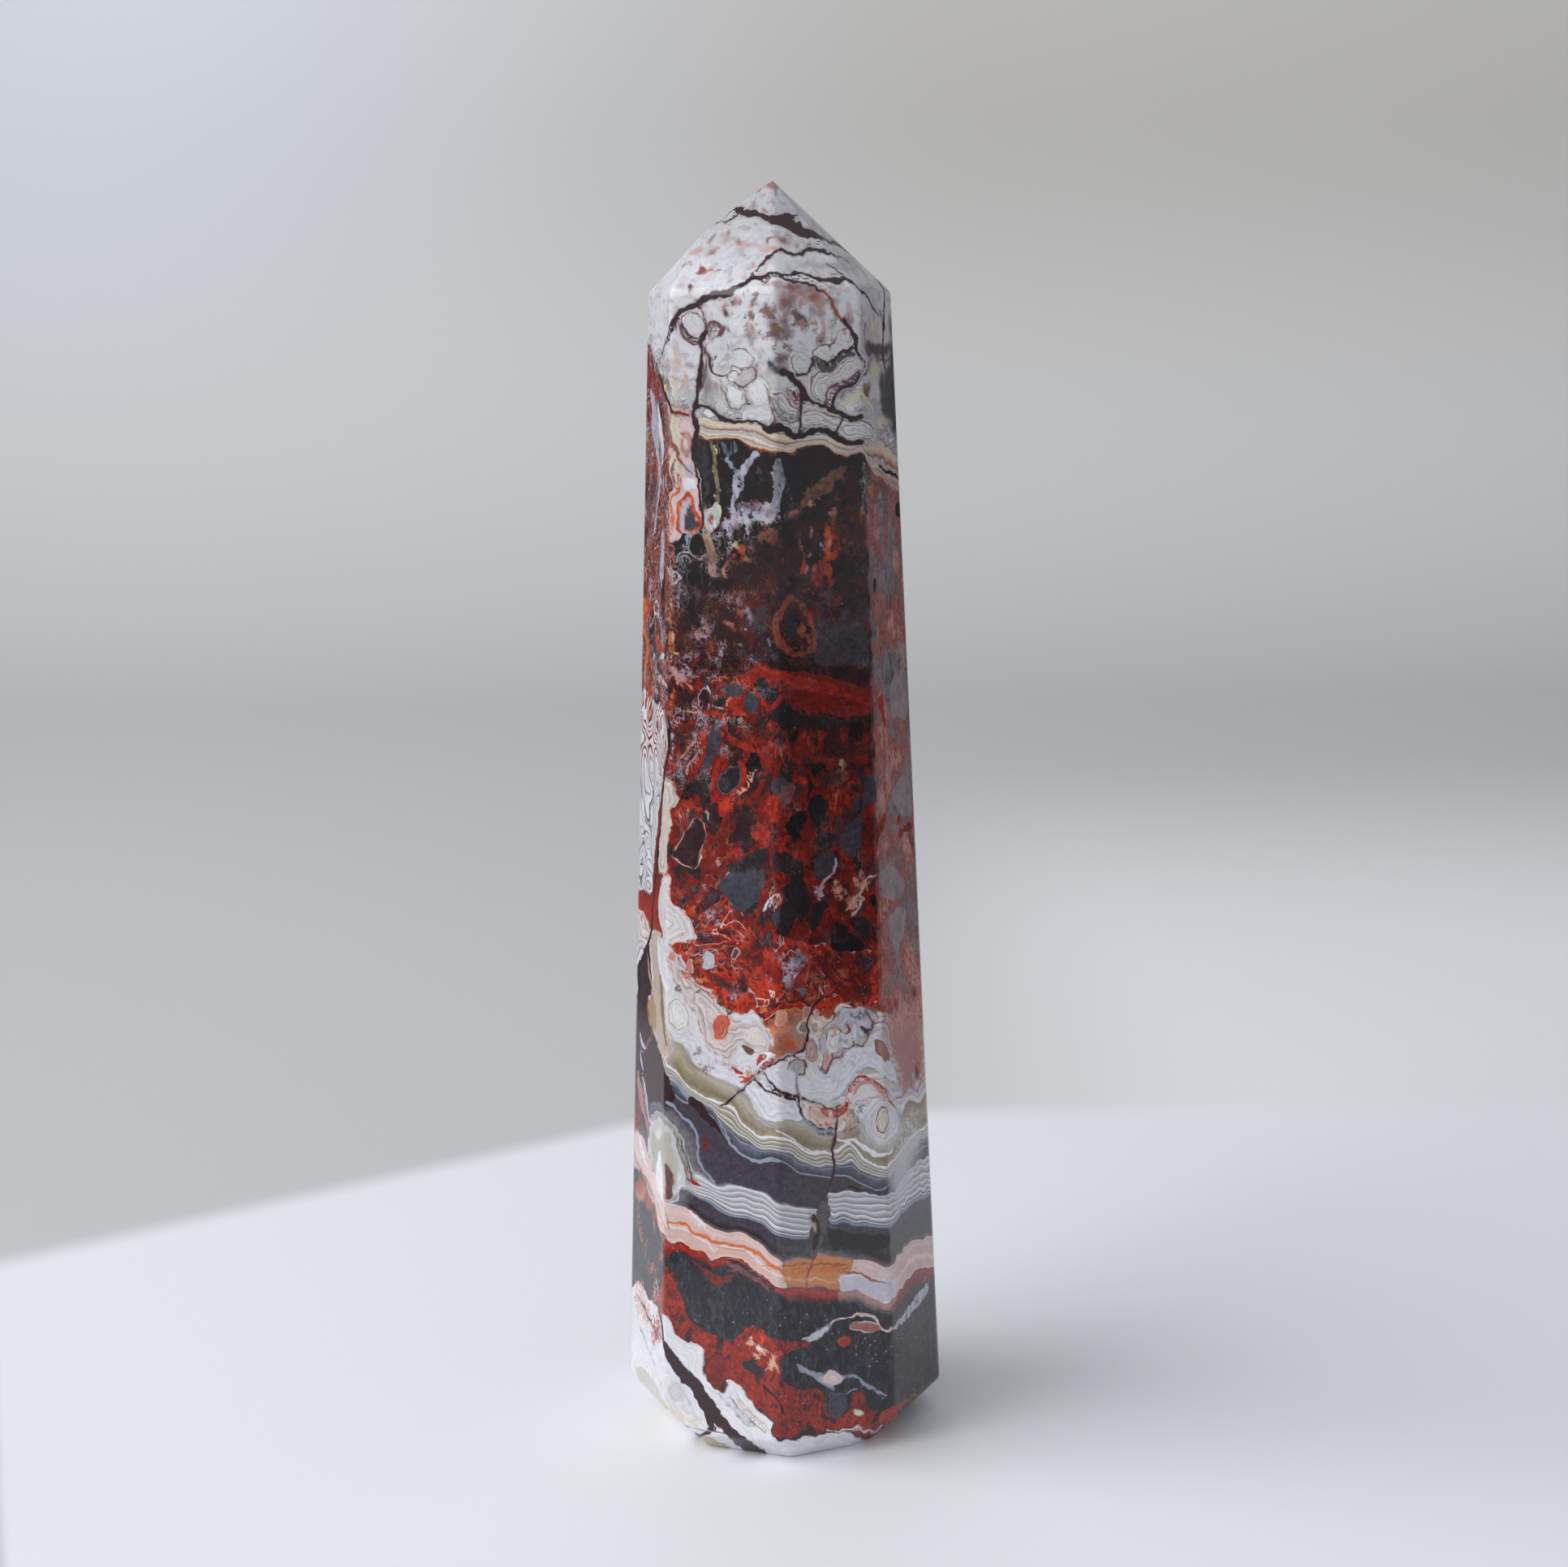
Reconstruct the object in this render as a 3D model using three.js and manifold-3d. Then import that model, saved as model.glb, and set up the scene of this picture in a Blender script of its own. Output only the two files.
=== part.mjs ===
// A crazy lace agate tower: one solid stone, ground by hand to eight sides, a faceted point
// and a bevelled foot, and polished all over. Millimetres, +Z up, standing on its flat base.
// Azimuth 0 faces -Y and grows towards +X. The edge between the two broad front sides faces -Y.
import * as THREE from 'three';
import { mergeVertices } from 'three/addons/utils/BufferGeometryUtils.js';
import Module from 'manifold-3d';

const wasm = await Module();
wasm.setup();

// Driving dimensions
const APEX_HEIGHT = 99.6;
const APEX_OFFSET = 0.25;
const SHOULDER_HEIGHT = 91;
const ROUGH_RADIUS = 17;
const ROUGH_HEIGHT = 104;
const ROUGH_SIDES = 24;
const WHEEL_WIDTH = 240;
const WHEEL_DEPTH = 30;

// The eight long sides. Reach is the distance from the axis at the base, and taper is how much
// of it is lost for each millimetre of height. Shoulder is the height of the side's top edge.
const SIDES = [
  { azimuth: -69.8, reach: 12.11, taper: 0.0337, shoulder: SHOULDER_HEIGHT },
  { azimuth: -23.9, reach: 11.9, taper: 0.0405, shoulder: SHOULDER_HEIGHT },
  { azimuth: 21.3, reach: 11.91, taper: 0.0352, shoulder: SHOULDER_HEIGHT },
  { azimuth: 64.8, reach: 11.94, taper: 0.0336, shoulder: SHOULDER_HEIGHT },
  { azimuth: 111, reach: 11.97, taper: 0.0392, shoulder: SHOULDER_HEIGHT - 0.2 },
  { azimuth: 155.7, reach: 11.96, taper: 0.0364, shoulder: SHOULDER_HEIGHT + 0.3 },
  { azimuth: 200.7, reach: 11.96, taper: 0.0364, shoulder: SHOULDER_HEIGHT - 0.3 },
  { azimuth: 246.4, reach: 11.88, taper: 0.0352, shoulder: SHOULDER_HEIGHT },
];

// The left side's tip facet was ground steeper than the others, so it stops short of the apex.
const STEEP_FACET = { side: 0, slope: 50.8 };

// The ground flats round the foot. Reach is measured at the base, and slope is from level.
const FOOT_FLATS = [
  { azimuth: -67.4, reach: 8.84, slope: 46 },
  { azimuth: -21.2, reach: 9.95, slope: 44.5 },
  { azimuth: 24, reach: 10.11, slope: 51.8 },
  { azimuth: 65.5, reach: 9.35, slope: 43.5 },
  { azimuth: 111, reach: 9.6, slope: 45 },
  { azimuth: 155, reach: 9.9, slope: 47.7 },
  { azimuth: 201, reach: 9.5, slope: 45 },
  { azimuth: 246, reach: 9.7, slope: 46.4 },
];

// Shoulder corners worn flat, and knocks in the rim of the foot.
const WORN_SHOULDERS = [
  { azimuth: -92, reach: 9.46, height: 91.3, slope: 56 },
  { azimuth: 88, reach: 9.42, height: 91.3, slope: 56 },
];
const FOOT_KNOCKS = [
  { azimuth: 43, reach: 9.95, slope: 50 },
  { azimuth: 182, reach: 9.7, slope: 40 },
];

const COLOUR = 0x7a4a44;
const ROUGHNESS = 0.12;

const radians = (degrees) => THREE.MathUtils.degToRad(degrees);

function solidFrom(geometry) {
  const bare = geometry.clone();
  bare.deleteAttribute('normal');
  bare.deleteAttribute('uv');
  const merged = mergeVertices(bare);
  const vertProperties = new Float32Array(merged.attributes.position.array);
  const triVerts = new Uint32Array(merged.index.array);
  return new wasm.Manifold(new wasm.Mesh({ numProp: 3, vertProperties, triVerts }));
}

function geometryFrom(solid) {
  const mesh = solid.getMesh();
  const indexed = new THREE.BufferGeometry();
  indexed.setAttribute('position', new THREE.BufferAttribute(new Float32Array(mesh.vertProperties), 3));
  indexed.setIndex(new THREE.BufferAttribute(new Uint32Array(mesh.triVerts), 1));
  return indexed;
}

// The rough: an upright round blank with its underside at height 0.
function sawRough() {
  const blank = new THREE.CylinderGeometry(ROUGH_RADIUS, ROUGH_RADIUS, ROUGH_HEIGHT, ROUGH_SIDES);
  blank.rotateX(Math.PI / 2);
  blank.translate(0, 0, ROUGH_HEIGHT / 2);
  return solidFrom(blank);
}

// One flat ground off the stone. The flat passes through the point at that reach and height,
// and its outward normal points along the azimuth, raised by lift degrees above level.
function grind(stone, { azimuth, reach, height, lift }) {
  const across = new THREE.Vector3(Math.sin(radians(azimuth)), -Math.cos(radians(azimuth)), 0);
  const normal = across.clone().multiplyScalar(Math.cos(radians(lift)));
  normal.z = Math.sin(radians(lift));
  const wheel = new THREE.BoxGeometry(WHEEL_WIDTH, WHEEL_WIDTH, WHEEL_DEPTH);
  wheel.translate(0, 0, WHEEL_DEPTH / 2);
  wheel.applyQuaternion(new THREE.Quaternion().setFromUnitVectors(new THREE.Vector3(0, 0, 1), normal));
  wheel.translate(across.x * reach, across.y * reach, height);
  return stone.subtract(solidFrom(wheel));
}

function grindSides(stone) {
  return SIDES.reduce((rest, { azimuth, reach, taper }) => {
    const lift = THREE.MathUtils.radToDeg(Math.atan(taper));
    return grind(rest, { azimuth, reach, height: 0, lift });
  }, stone);
}

// Each tip facet starts at its side's shoulder and rises to the apex.
function grindTip(stone) {
  return SIDES.reduce((rest, { azimuth, reach, taper, shoulder }, side) => {
    const shoulderReach = reach - taper * shoulder;
    const run = shoulderReach - APEX_OFFSET * Math.sin(radians(azimuth));
    const toApex = THREE.MathUtils.radToDeg(Math.atan2(APEX_HEIGHT - shoulder, run));
    const slope = side === STEEP_FACET.side ? STEEP_FACET.slope : toApex;
    return grind(rest, { azimuth, reach: shoulderReach, height: shoulder, lift: 90 - slope });
  }, stone);
}

function grindFoot(stone) {
  return [...FOOT_FLATS, ...FOOT_KNOCKS].reduce((rest, { azimuth, reach, slope }) => {
    return grind(rest, { azimuth, reach, height: 0, lift: slope - 90 });
  }, stone);
}

function wearShoulders(stone) {
  return WORN_SHOULDERS.reduce((rest, { azimuth, reach, height, slope }) => {
    return grind(rest, { azimuth, reach, height, lift: 90 - slope });
  }, stone);
}

function polishedTower() {
  const stone = wearShoulders(grindFoot(grindTip(grindSides(sawRough()))));
  const geometry = geometryFrom(stone);
  geometry.computeBoundingBox();
  const middle = geometry.boundingBox.getCenter(new THREE.Vector3());
  geometry.translate(-middle.x, -middle.y, 0);
  const facets = geometry.toNonIndexed();
  facets.computeVertexNormals();
  return facets;
}

const polish = new THREE.MeshStandardMaterial({ color: COLOUR, roughness: ROUGHNESS, metalness: 0 });
const tower = new THREE.Mesh(polishedTower(), polish);
tower.name = 'agate_tower';

const part = new THREE.Group();
part.add(tower);

export default part;
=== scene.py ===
# %% [markdown]
# # A polished crazy lace agate tower
# The real object is one hand-ground stone, about ten centimetres tall, with eight long sides,
# a faceted point and a bevelled foot. Its shape is simple, so nearly all of its character is
# in the markings: white porcelain agate with dark veins, lace bands, black and red jasper,
# moss, and wavy grey bands. The plan is to grind a fine mesh to the CAD flats, to draw the
# markings on it as named paths, and to let the material add the fine grain.

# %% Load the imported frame
import math
import bmesh
import bpy
import numpy as np
from mathutils import Matrix, Vector


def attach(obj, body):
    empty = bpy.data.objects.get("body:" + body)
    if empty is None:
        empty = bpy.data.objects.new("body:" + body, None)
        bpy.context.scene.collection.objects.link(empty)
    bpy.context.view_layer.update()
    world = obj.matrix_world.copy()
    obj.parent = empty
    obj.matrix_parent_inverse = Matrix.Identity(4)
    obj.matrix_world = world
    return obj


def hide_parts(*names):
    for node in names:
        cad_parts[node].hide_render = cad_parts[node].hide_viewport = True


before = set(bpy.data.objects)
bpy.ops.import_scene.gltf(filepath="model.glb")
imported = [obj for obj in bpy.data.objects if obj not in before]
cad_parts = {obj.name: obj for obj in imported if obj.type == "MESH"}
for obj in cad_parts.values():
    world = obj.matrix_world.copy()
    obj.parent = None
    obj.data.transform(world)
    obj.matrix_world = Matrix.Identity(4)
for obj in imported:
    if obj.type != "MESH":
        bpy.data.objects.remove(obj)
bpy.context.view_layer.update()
MM = 0.001
scene = bpy.context.scene
scene.view_settings.view_transform = "Standard"

# %% [markdown]
# ## The camera
# The photograph looks slightly down on the tower from close by. Its place and lens were found
# by matching the corners of the stone, so the same numbers also turn a place on the stone
# into a pixel of the photograph. That lets each marking be drawn where it was seen.

# %% Camera
PHOTO_SIZE = (1932, 1931)
FOCAL_PIXELS = 3200
SENSOR_WIDTH = 36
CAMERA_PLACE = np.array([0.555, -206.13, 82.54])
CAMERA_PITCH = math.radians(8.37)
CAMERA_ROLL = math.radians(-0.71)

level_right = np.array([1.0, 0, 0])
look = np.array([0, math.cos(CAMERA_PITCH), -math.sin(CAMERA_PITCH)])
level_up = np.cross(level_right, look)
camera_right = math.cos(CAMERA_ROLL) * level_right + math.sin(CAMERA_ROLL) * level_up
camera_up = -math.sin(CAMERA_ROLL) * level_right + math.cos(CAMERA_ROLL) * level_up

camera_data = bpy.data.cameras.new("photo_camera")
camera_data.sensor_width = SENSOR_WIDTH
camera_data.lens = FOCAL_PIXELS / PHOTO_SIZE[0] * SENSOR_WIDTH
camera_data.clip_start = 0.01
camera = bpy.data.objects.new("photo_camera", camera_data)
turned = Matrix([camera_right, camera_up, -look]).transposed().to_4x4()
camera.matrix_world = Matrix.Translation(Vector(CAMERA_PLACE * MM)) @ turned
scene.collection.objects.link(camera)
scene.camera = camera
print("lens", round(camera_data.lens, 2), "mm")


def photo_pixels(points):
    """The pixel of the photograph that shows each point, given in millimetres."""
    reach = points - CAMERA_PLACE
    depth = reach @ look
    across = PHOTO_SIZE[0] / 2 + FOCAL_PIXELS * (reach @ camera_right) / depth
    down = PHOTO_SIZE[1] / 2 - FOCAL_PIXELS * (reach @ camera_up) / depth
    return across, down


# %% [markdown]
# ## The flats of the stone
# The CAD node already holds every ground flat, as loose triangles. A merged copy of it, with
# its coplanar triangles dissolved, gives each flat's direction and its distance from the
# origin. The fine mesh is then ground to these, so it can't drift from the CAD shape.

# %% Read the flats
cad_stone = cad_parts["agate_tower"]
copy = bmesh.new()
copy.from_mesh(cad_stone.data)
bmesh.ops.remove_doubles(copy, verts=copy.verts, dist=0.005 * MM)
bmesh.ops.dissolve_limit(copy, angle_limit=math.radians(0.4), verts=copy.verts, edges=copy.edges)
flats = [(f.normal.copy(), f.calc_center_median() / MM, f.calc_area() / MM**2) for f in copy.faces]
copy.free()
normals = np.array([n for n, middle, area in flats])
distances = np.array([n.dot(middle) for n, middle, area in flats])
areas = np.array([area for n, middle, area in flats])
azimuths = np.arctan2(normals[:, 0], -normals[:, 1])
print(len(flats), "flats")


def family(chosen):
    """The eight largest flats of a kind, in order round the stone."""
    kept = [i for i in np.argsort(-areas) if chosen[i]][:8]
    return sorted(kept, key=lambda i: azimuths[i])


long_sides = family(abs(normals[:, 2]) < 0.1)
foot_flats = family((normals[:, 2] < -0.3) & (normals[:, 2] > -0.95))
apex = np.array([0.22, -0.02, 99.6])
SHOULDER = 91.0
FOOT_EDGE = 2.1

# %% [markdown]
# ## The ground stone
# A UV sphere has the right build for a tower: closed poles, and columns of vertices that run
# from the point to the foot. Each column is steered along the stone's eight upright edges and
# each ring is given a height, and then every vertex is pushed out along a level ray until it
# meets the flats. The flats are blended over a hair's breadth, because polishing rounds an
# edge a little. Columns are closest on the two broad front sides, which carry most detail.

# %% Sphere to grind
SIDE_COLUMNS = [30, 51, 51, 30, 14, 13, 13, 14]
COLUMNS = sum(SIDE_COLUMNS)
SIDE_STEP = 0.25
SLOPE_STEP = 0.18
BASE_RINGS = 12

foot_heights = np.arange(0, FOOT_EDGE, SLOPE_STEP)
side_heights = np.linspace(FOOT_EDGE, SHOULDER, round((SHOULDER - FOOT_EDGE) / SIDE_STEP))
tip_heights = np.linspace(SHOULDER, apex[2], round((apex[2] - SHOULDER) / SLOPE_STEP))[1:-1]
ring_heights = np.concatenate([tip_heights[::-1], side_heights[::-1], foot_heights[::-1]])
RINGS = len(ring_heights) + BASE_RINGS + 1

bead = bmesh.new()
bmesh.ops.create_uvsphere(bead, u_segments=COLUMNS, v_segments=RINGS, radius=1)
sphere = np.array([v.co for v in bead.verts])
ring = np.rint(np.arccos(np.clip(sphere[:, 2], -1, 1)) / math.pi * RINGS).astype(int)
column = np.rint(np.arctan2(sphere[:, 1], sphere[:, 0]) / math.tau * COLUMNS).astype(int) % COLUMNS
print(len(sphere), "vertices,", RINGS, "rings,", COLUMNS, "columns")

# %% Steer the columns along the edges
EDGE_BLEND = 17.0


def corner_azimuths(flat_numbers, height):
    """Azimuths of the corners between neighbouring flats, at a height, seen from the axis."""
    corners = []
    for first, second in zip(flat_numbers, flat_numbers[1:] + flat_numbers[:1]):
        pair = [first, second]
        level = distances[pair] - normals[pair, 2] * height
        x, y = np.linalg.solve(normals[pair, :2], level)
        x0, y0 = axis_shift(height)
        corners.append(math.atan2(x - x0, -(y - y0)))
    return np.unwrap(corners)


def axis_shift(height):
    """The rays start on the axis at the foot, and straight below the point near the top."""
    share = min(1, max(0, (height - 60) / 30)) if np.isscalar(height) else np.clip((height - 60) / 30, 0, 1)
    return apex[0] * share, apex[1] * share


def column_azimuths(height):
    """One azimuth for each column, spread evenly between the stone's upright edges."""
    kind = foot_flats if height < FOOT_EDGE else long_sides
    corners = corner_azimuths(kind, min(height, SHOULDER))
    start = int(np.argmin(abs(corners - math.radians(-92))))
    corners = np.concatenate([corners[start:], corners[:start] + math.tau])
    marks = np.concatenate([corners, [corners[0] + math.tau]])
    steps = np.cumsum([0] + SIDE_COLUMNS)
    return np.interp(np.arange(COLUMNS), steps, marks)


azimuth_of_ring = np.array([column_azimuths(h) for h in ring_heights])
on_side = (ring > 0) & (ring <= len(ring_heights))
on_base = ring > len(ring_heights)
side_ring = np.clip(ring - 1, 0, len(ring_heights) - 1)
azimuth = azimuth_of_ring[side_ring, column]
height = ring_heights[side_ring]

# %% Push the vertices out to the flats
FINE_WEAR = 0.012


def waves(points, size, seed, count=9):
    """Smooth random waves about one size across, between about -1 and 1."""
    rng = np.random.default_rng(seed)
    total = np.zeros(len(points))
    for _ in range(count):
        direction = rng.normal(size=points.shape[1])
        direction *= rng.uniform(0.6, 1.6) * math.tau / size / np.linalg.norm(direction)
        total += np.sin(points @ direction + rng.uniform(0, math.tau))
    return total / count**0.5


def ground(azimuth, height):
    """Where a level ray from the axis leaves the blended flats."""
    ray = np.stack([np.sin(azimuth), -np.cos(azimuth), 0 * azimuth], 1)
    x0, y0 = axis_shift(height)
    start = np.stack([x0, y0, height], 1)
    used = normals[:, 2] > -0.95
    facing = ray @ normals[used].T
    room = distances[used] - start @ normals[used].T
    reach = np.where(facing > 1e-4, room / np.maximum(facing, 1e-4), 1e3).min(1)
    for _ in range(6):
        past = EDGE_BLEND * (facing * reach[:, None] - room)
        top = past.max(1, keepdims=True)
        weight = np.exp(past - top)
        blend = (top[:, 0] + np.log(weight.sum(1))) / EDGE_BLEND
        slope = (weight * facing).sum(1) / weight.sum(1)
        reach = reach - blend / slope
    return start + ray * np.maximum(reach, 0)[:, None]


stone = ground(azimuth, height)
rim = np.where(on_base)[0]
inward = 1 - (ring[rim] - len(ring_heights)) / (BASE_RINGS + 1)
stone[rim] = ground(azimuth_of_ring[-1, column[rim]], np.zeros(len(rim))) * inward[:, None]
stone[ring == 0] = apex - [0, 0, math.log(7) / EDGE_BLEND * 0.75]
stone[rim, 2] = 0
print("ground box in mm:", np.ptp(stone, axis=0).round(2))

# %% [markdown]
# ## A flat sheet to draw on
# Markings are easiest to draw on a flat sheet, like a paper label unrolled from the stone. The
# sheet uses the photograph's pixels. The two narrow-looking sides are stretched out to their
# real width, so that a vein there keeps its true thickness. The far half of the stone can't be
# seen, so it borrows a mirrored sheet whose places drift away from the mirror line, which
# keeps every band unbroken where the two halves meet.

# %% Unroll the stone
SHEET_PER_MM = 15.5
LEFT_SQUEEZE = 0.31
RIGHT_SQUEEZE = 0.34
LEFT_EDGE = np.array([(222, 951), (357, 826), (880, 823), (1600, 820), (1735, 818), (1790, 850)])
RIGHT_EDGE = np.array([(222, 951), (356, 1058), (1748, 1103), (1785, 1085)])
MIRROR_AZIMUTH = math.radians(88)


def sheet_place(across, down):
    """A pixel of the photograph as a place on the unrolled sheet."""
    left = np.interp(down, LEFT_EDGE[:, 0], LEFT_EDGE[:, 1])
    right = np.interp(down, RIGHT_EDGE[:, 0], RIGHT_EDGE[:, 1])
    unrolled = np.where(across < left, left - (left - across) / LEFT_SQUEEZE, across)
    return np.where(across > right, right + (across - right) / RIGHT_SQUEEZE, unrolled), down


turn = np.arctan2(stone[:, 0], -stone[:, 1]) - MIRROR_AZIMUTH
turn = (turn + math.pi) % math.tau - math.pi
hidden = turn > 0
radius = np.hypot(stone[:, 0], stone[:, 1])
seen_azimuth = MIRROR_AZIMUTH - abs(turn)
seen = np.stack([radius * np.sin(seen_azimuth), -radius * np.cos(seen_azimuth), stone[:, 2]], 1)
sheet_x, sheet_y = sheet_place(*photo_pixels(seen))

drift = np.where(hidden, np.clip(np.sin(abs(turn)), 0, 1) ** 0.7, 0)
sheet_x = sheet_x + drift * (45 * waves(stone, 40, 3) - 40)
sheet_y = sheet_y + drift * (60 * waves(stone, 45, 4) + 30 * waves(stone, 14, 5) - 190)
sheet = np.stack([sheet_x, sheet_y], 1)
sheet_x = sheet_x + 1.6 * waves(sheet, 37, 12)
sheet_y = sheet_y + 1.6 * waves(sheet, 37, 14)
print("sheet spans", sheet_x.min().round(), sheet_x.max().round())

# %% [markdown]
# ## Drawing tools
# A path is written as in a drawing program: pairs of pixels, with an optional third number for
# the width from there on. A stroke stores, at each vertex, the way to the nearest place on its
# line. Blender mixes such arrows smoothly between vertices, so a line far thinner than the
# mesh still comes out sharp. A patch stores its distance to the outline, positive inside.

# %% Palette
PALETTE = {
    "white": (230, 229, 236),
    "snow": (240, 240, 245),
    "lilac": (192, 186, 206),
    "pearl": (198, 199, 206),
    "cream": (226, 212, 190),
    "tan": (176, 148, 116),
    "sand": (200, 176, 146),
    "peach": (222, 172, 146),
    "pink": (230, 201, 200),
    "rose": (216, 182, 178),
    "blush": (205, 150, 140),
    "orange": (214, 112, 58),
    "amber": (206, 126, 62),
    "rust": (158, 84, 58),
    "flame": (196, 66, 34),
    "red": (168, 42, 28),
    "brick": (128, 34, 25),
    "maroon": (62, 28, 28),
    "vein": (52, 28, 34),
    "plum": (70, 63, 74),
    "mauve": (118, 78, 84),
    "umber": (120, 88, 70),
    "ink": (26, 15, 19),
    "soot": (40, 36, 40),
    "slate": (66, 66, 76),
    "steel": (100, 104, 120),
    "smoke": (92, 84, 88),
    "fog": (150, 146, 148),
    "haze": (150, 160, 180),
    "veil": (184, 130, 126),
    "ash": (150, 136, 140),
    "ember": (110, 22, 14),
    "khaki": (176, 163, 136),
    "olive": (136, 123, 98),
    "gold": (170, 140, 80),
    "sage": (184, 179, 164),
    "dusk": (132, 127, 131),
    "night": (30, 33, 44),
    "butter": (230, 218, 168),
}


def linear(name):
    """A palette colour as the linear values that Blender's shaders expect."""
    shares = np.array(PALETTE[name]) / 255
    return np.where(shares <= 0.04045, shares / 12.92, ((shares + 0.055) / 1.055) ** 2.4)


# %% Paths
CURVE_PARTS = 4


def trace(text, width=3):
    """Rows of sheet x, sheet y and width for a written path."""
    rows = []
    for place in text.split():
        numbers = [float(number) for number in place.split(",")]
        width = numbers[2] if len(numbers) > 2 else width
        x, y = sheet_place(numbers[0], numbers[1])
        rows.append((float(x), float(y), width))
    return np.array(rows)


def rounded(rows, closed=False):
    """The path as a smooth curve through the same places."""
    if len(rows) < 3:
        return rows
    before = np.roll(rows, 1, 0)
    after = np.roll(rows, -1, 0)
    if not closed:
        before[0] = rows[0]
        after[-1] = rows[-1]
    lean = (after - before) / 2
    ends = np.roll(rows, -1, 0)
    end_lean = np.roll(lean, -1, 0)
    count = len(rows) if closed else len(rows) - 1
    made = []
    for i in range(count):
        for t in np.arange(CURVE_PARTS) / CURVE_PARTS:
            hermite = (2 * t**3 - 3 * t**2 + 1, t**3 - 2 * t**2 + t, 3 * t**2 - 2 * t**3, t**3 - t**2)
            parts = (rows[i], lean[i], ends[i], end_lean[i])
            made.append(sum(h * p for h, p in zip(hermite, parts)))
    if not closed:
        made.append(rows[-1])
    return np.array(made)


def lobe(x, y, wide, tall):
    """A written path for a round lobe, a little uneven like a drop of wax."""
    turns = np.arange(10) / 10 * math.tau
    uneven = 1 + 0.06 * np.sin(2 * turns + x) + 0.05 * np.sin(3 * turns + y)
    rim = zip(x + wide * uneven * np.cos(turns), y + tall * uneven * np.sin(turns))
    return " ".join(f"{across:.1f},{down:.1f}" for across, down in rim)


def nearby(rows, margin):
    """The vertices within a margin of a path."""
    low = rows[:, :2].min(0) - margin
    high = rows[:, :2].max(0) + margin
    inside = (sheet_x > low[0]) & (sheet_x < high[0]) & (sheet_y > low[1]) & (sheet_y < high[1])
    return np.flatnonzero(inside)


def arrow_to(rows, x, y):
    """From each place, the arrow to the nearest place on the path, and the width there."""
    best = np.full(len(x), 1e9)
    arrow = np.zeros((len(x), 2))
    width = np.zeros(len(x))
    for (x0, y0, w0), (x1, y1, w1) in zip(rows[:-1], rows[1:]):
        run = np.array([x1 - x0, y1 - y0])
        t = np.clip(((x - x0) * run[0] + (y - y0) * run[1]) / max(run @ run, 1e-9), 0, 1)
        there = np.stack([x0 + t * run[0] - x, y0 + t * run[1] - y], 1)
        wide = w0 + t * (w1 - w0)
        gap = np.hypot(there[:, 0], there[:, 1]) - wide / 2
        nearer = gap < best
        best[nearer] = gap[nearer]
        arrow[nearer] = there[nearer]
        width[nearer] = wide[nearer]
    return arrow, width, best


def encloses(rows, x, y):
    """Whether each place lies inside a closed path."""
    inside = np.zeros(len(x), bool)
    for (x0, y0, _), (x1, y1, _) in zip(rows, np.roll(rows, -1, 0)):
        crosses = (y0 > y) != (y1 > y)
        inside ^= crosses & (x < (x1 - x0) * (y - y0) / (y1 - y0 + 1e-9) + x0)
    return inside


# %% Layers of strokes and patches
FAR = 60.0
layers = {}


def stroke_layer(name, strokes):
    """Draws open paths, each given as a colour, a width and the written path."""
    arrow = np.full((len(stone), 3), FAR / SHEET_PER_MM)
    depth = np.full(len(stone), -FAR)
    colour = np.tile([*linear("vein"), 1], (len(stone), 1))
    for shade, width, text in strokes:
        rows = rounded(trace(text, width))
        near = nearby(rows, FAR)
        there, wide, gap = arrow_to(rows, sheet_x[near], sheet_y[near])
        closer = -gap > depth[near]
        chosen = near[closer]
        depth[chosen] = -gap[closer]
        arrow[chosen, :2] = there[closer] / SHEET_PER_MM
        arrow[chosen, 2] = wide[closer] / 2 / SHEET_PER_MM
        colour[chosen, :3] = linear(shade)
    layers[name] = {"arrow": arrow, "depth": depth / SHEET_PER_MM, "colour": colour}
    print(name, "has", len(strokes), "strokes")


def patch_layer(name, patches):
    """Draws closed paths, each given as a colour, how strongly it is ringed, its rim and the path."""
    depth = np.full(len(stone), -FAR)
    colour = np.tile([*linear("white"), 1], (len(stone), 1))
    rim = colour.copy()
    rings = np.zeros(len(stone))
    for shade, ringed, rim_shade, text in patches:
        rows = rounded(trace(text), closed=True)
        near = nearby(rows, FAR)
        loop = np.vstack([rows, rows[:1]])
        loop[:, 2] = 0
        there, wide, gap = arrow_to(loop, sheet_x[near], sheet_y[near])
        inside = encloses(rows, sheet_x[near], sheet_y[near])
        signed = np.where(inside, gap, -gap)
        wins = (signed > 0) | ((depth[near] < 0) & (signed > depth[near]))
        chosen = near[wins]
        depth[chosen] = signed[wins]
        colour[chosen, :3] = linear(shade)
        rim[chosen, :3] = linear(rim_shade or ("dusk" if ringed else shade))
        rings[chosen] = ringed
    layers[name] = {"depth": depth / SHEET_PER_MM, "colour": colour, "rings": rings, "rim": rim}
    print(name, "has", len(patches), "patches")


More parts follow.
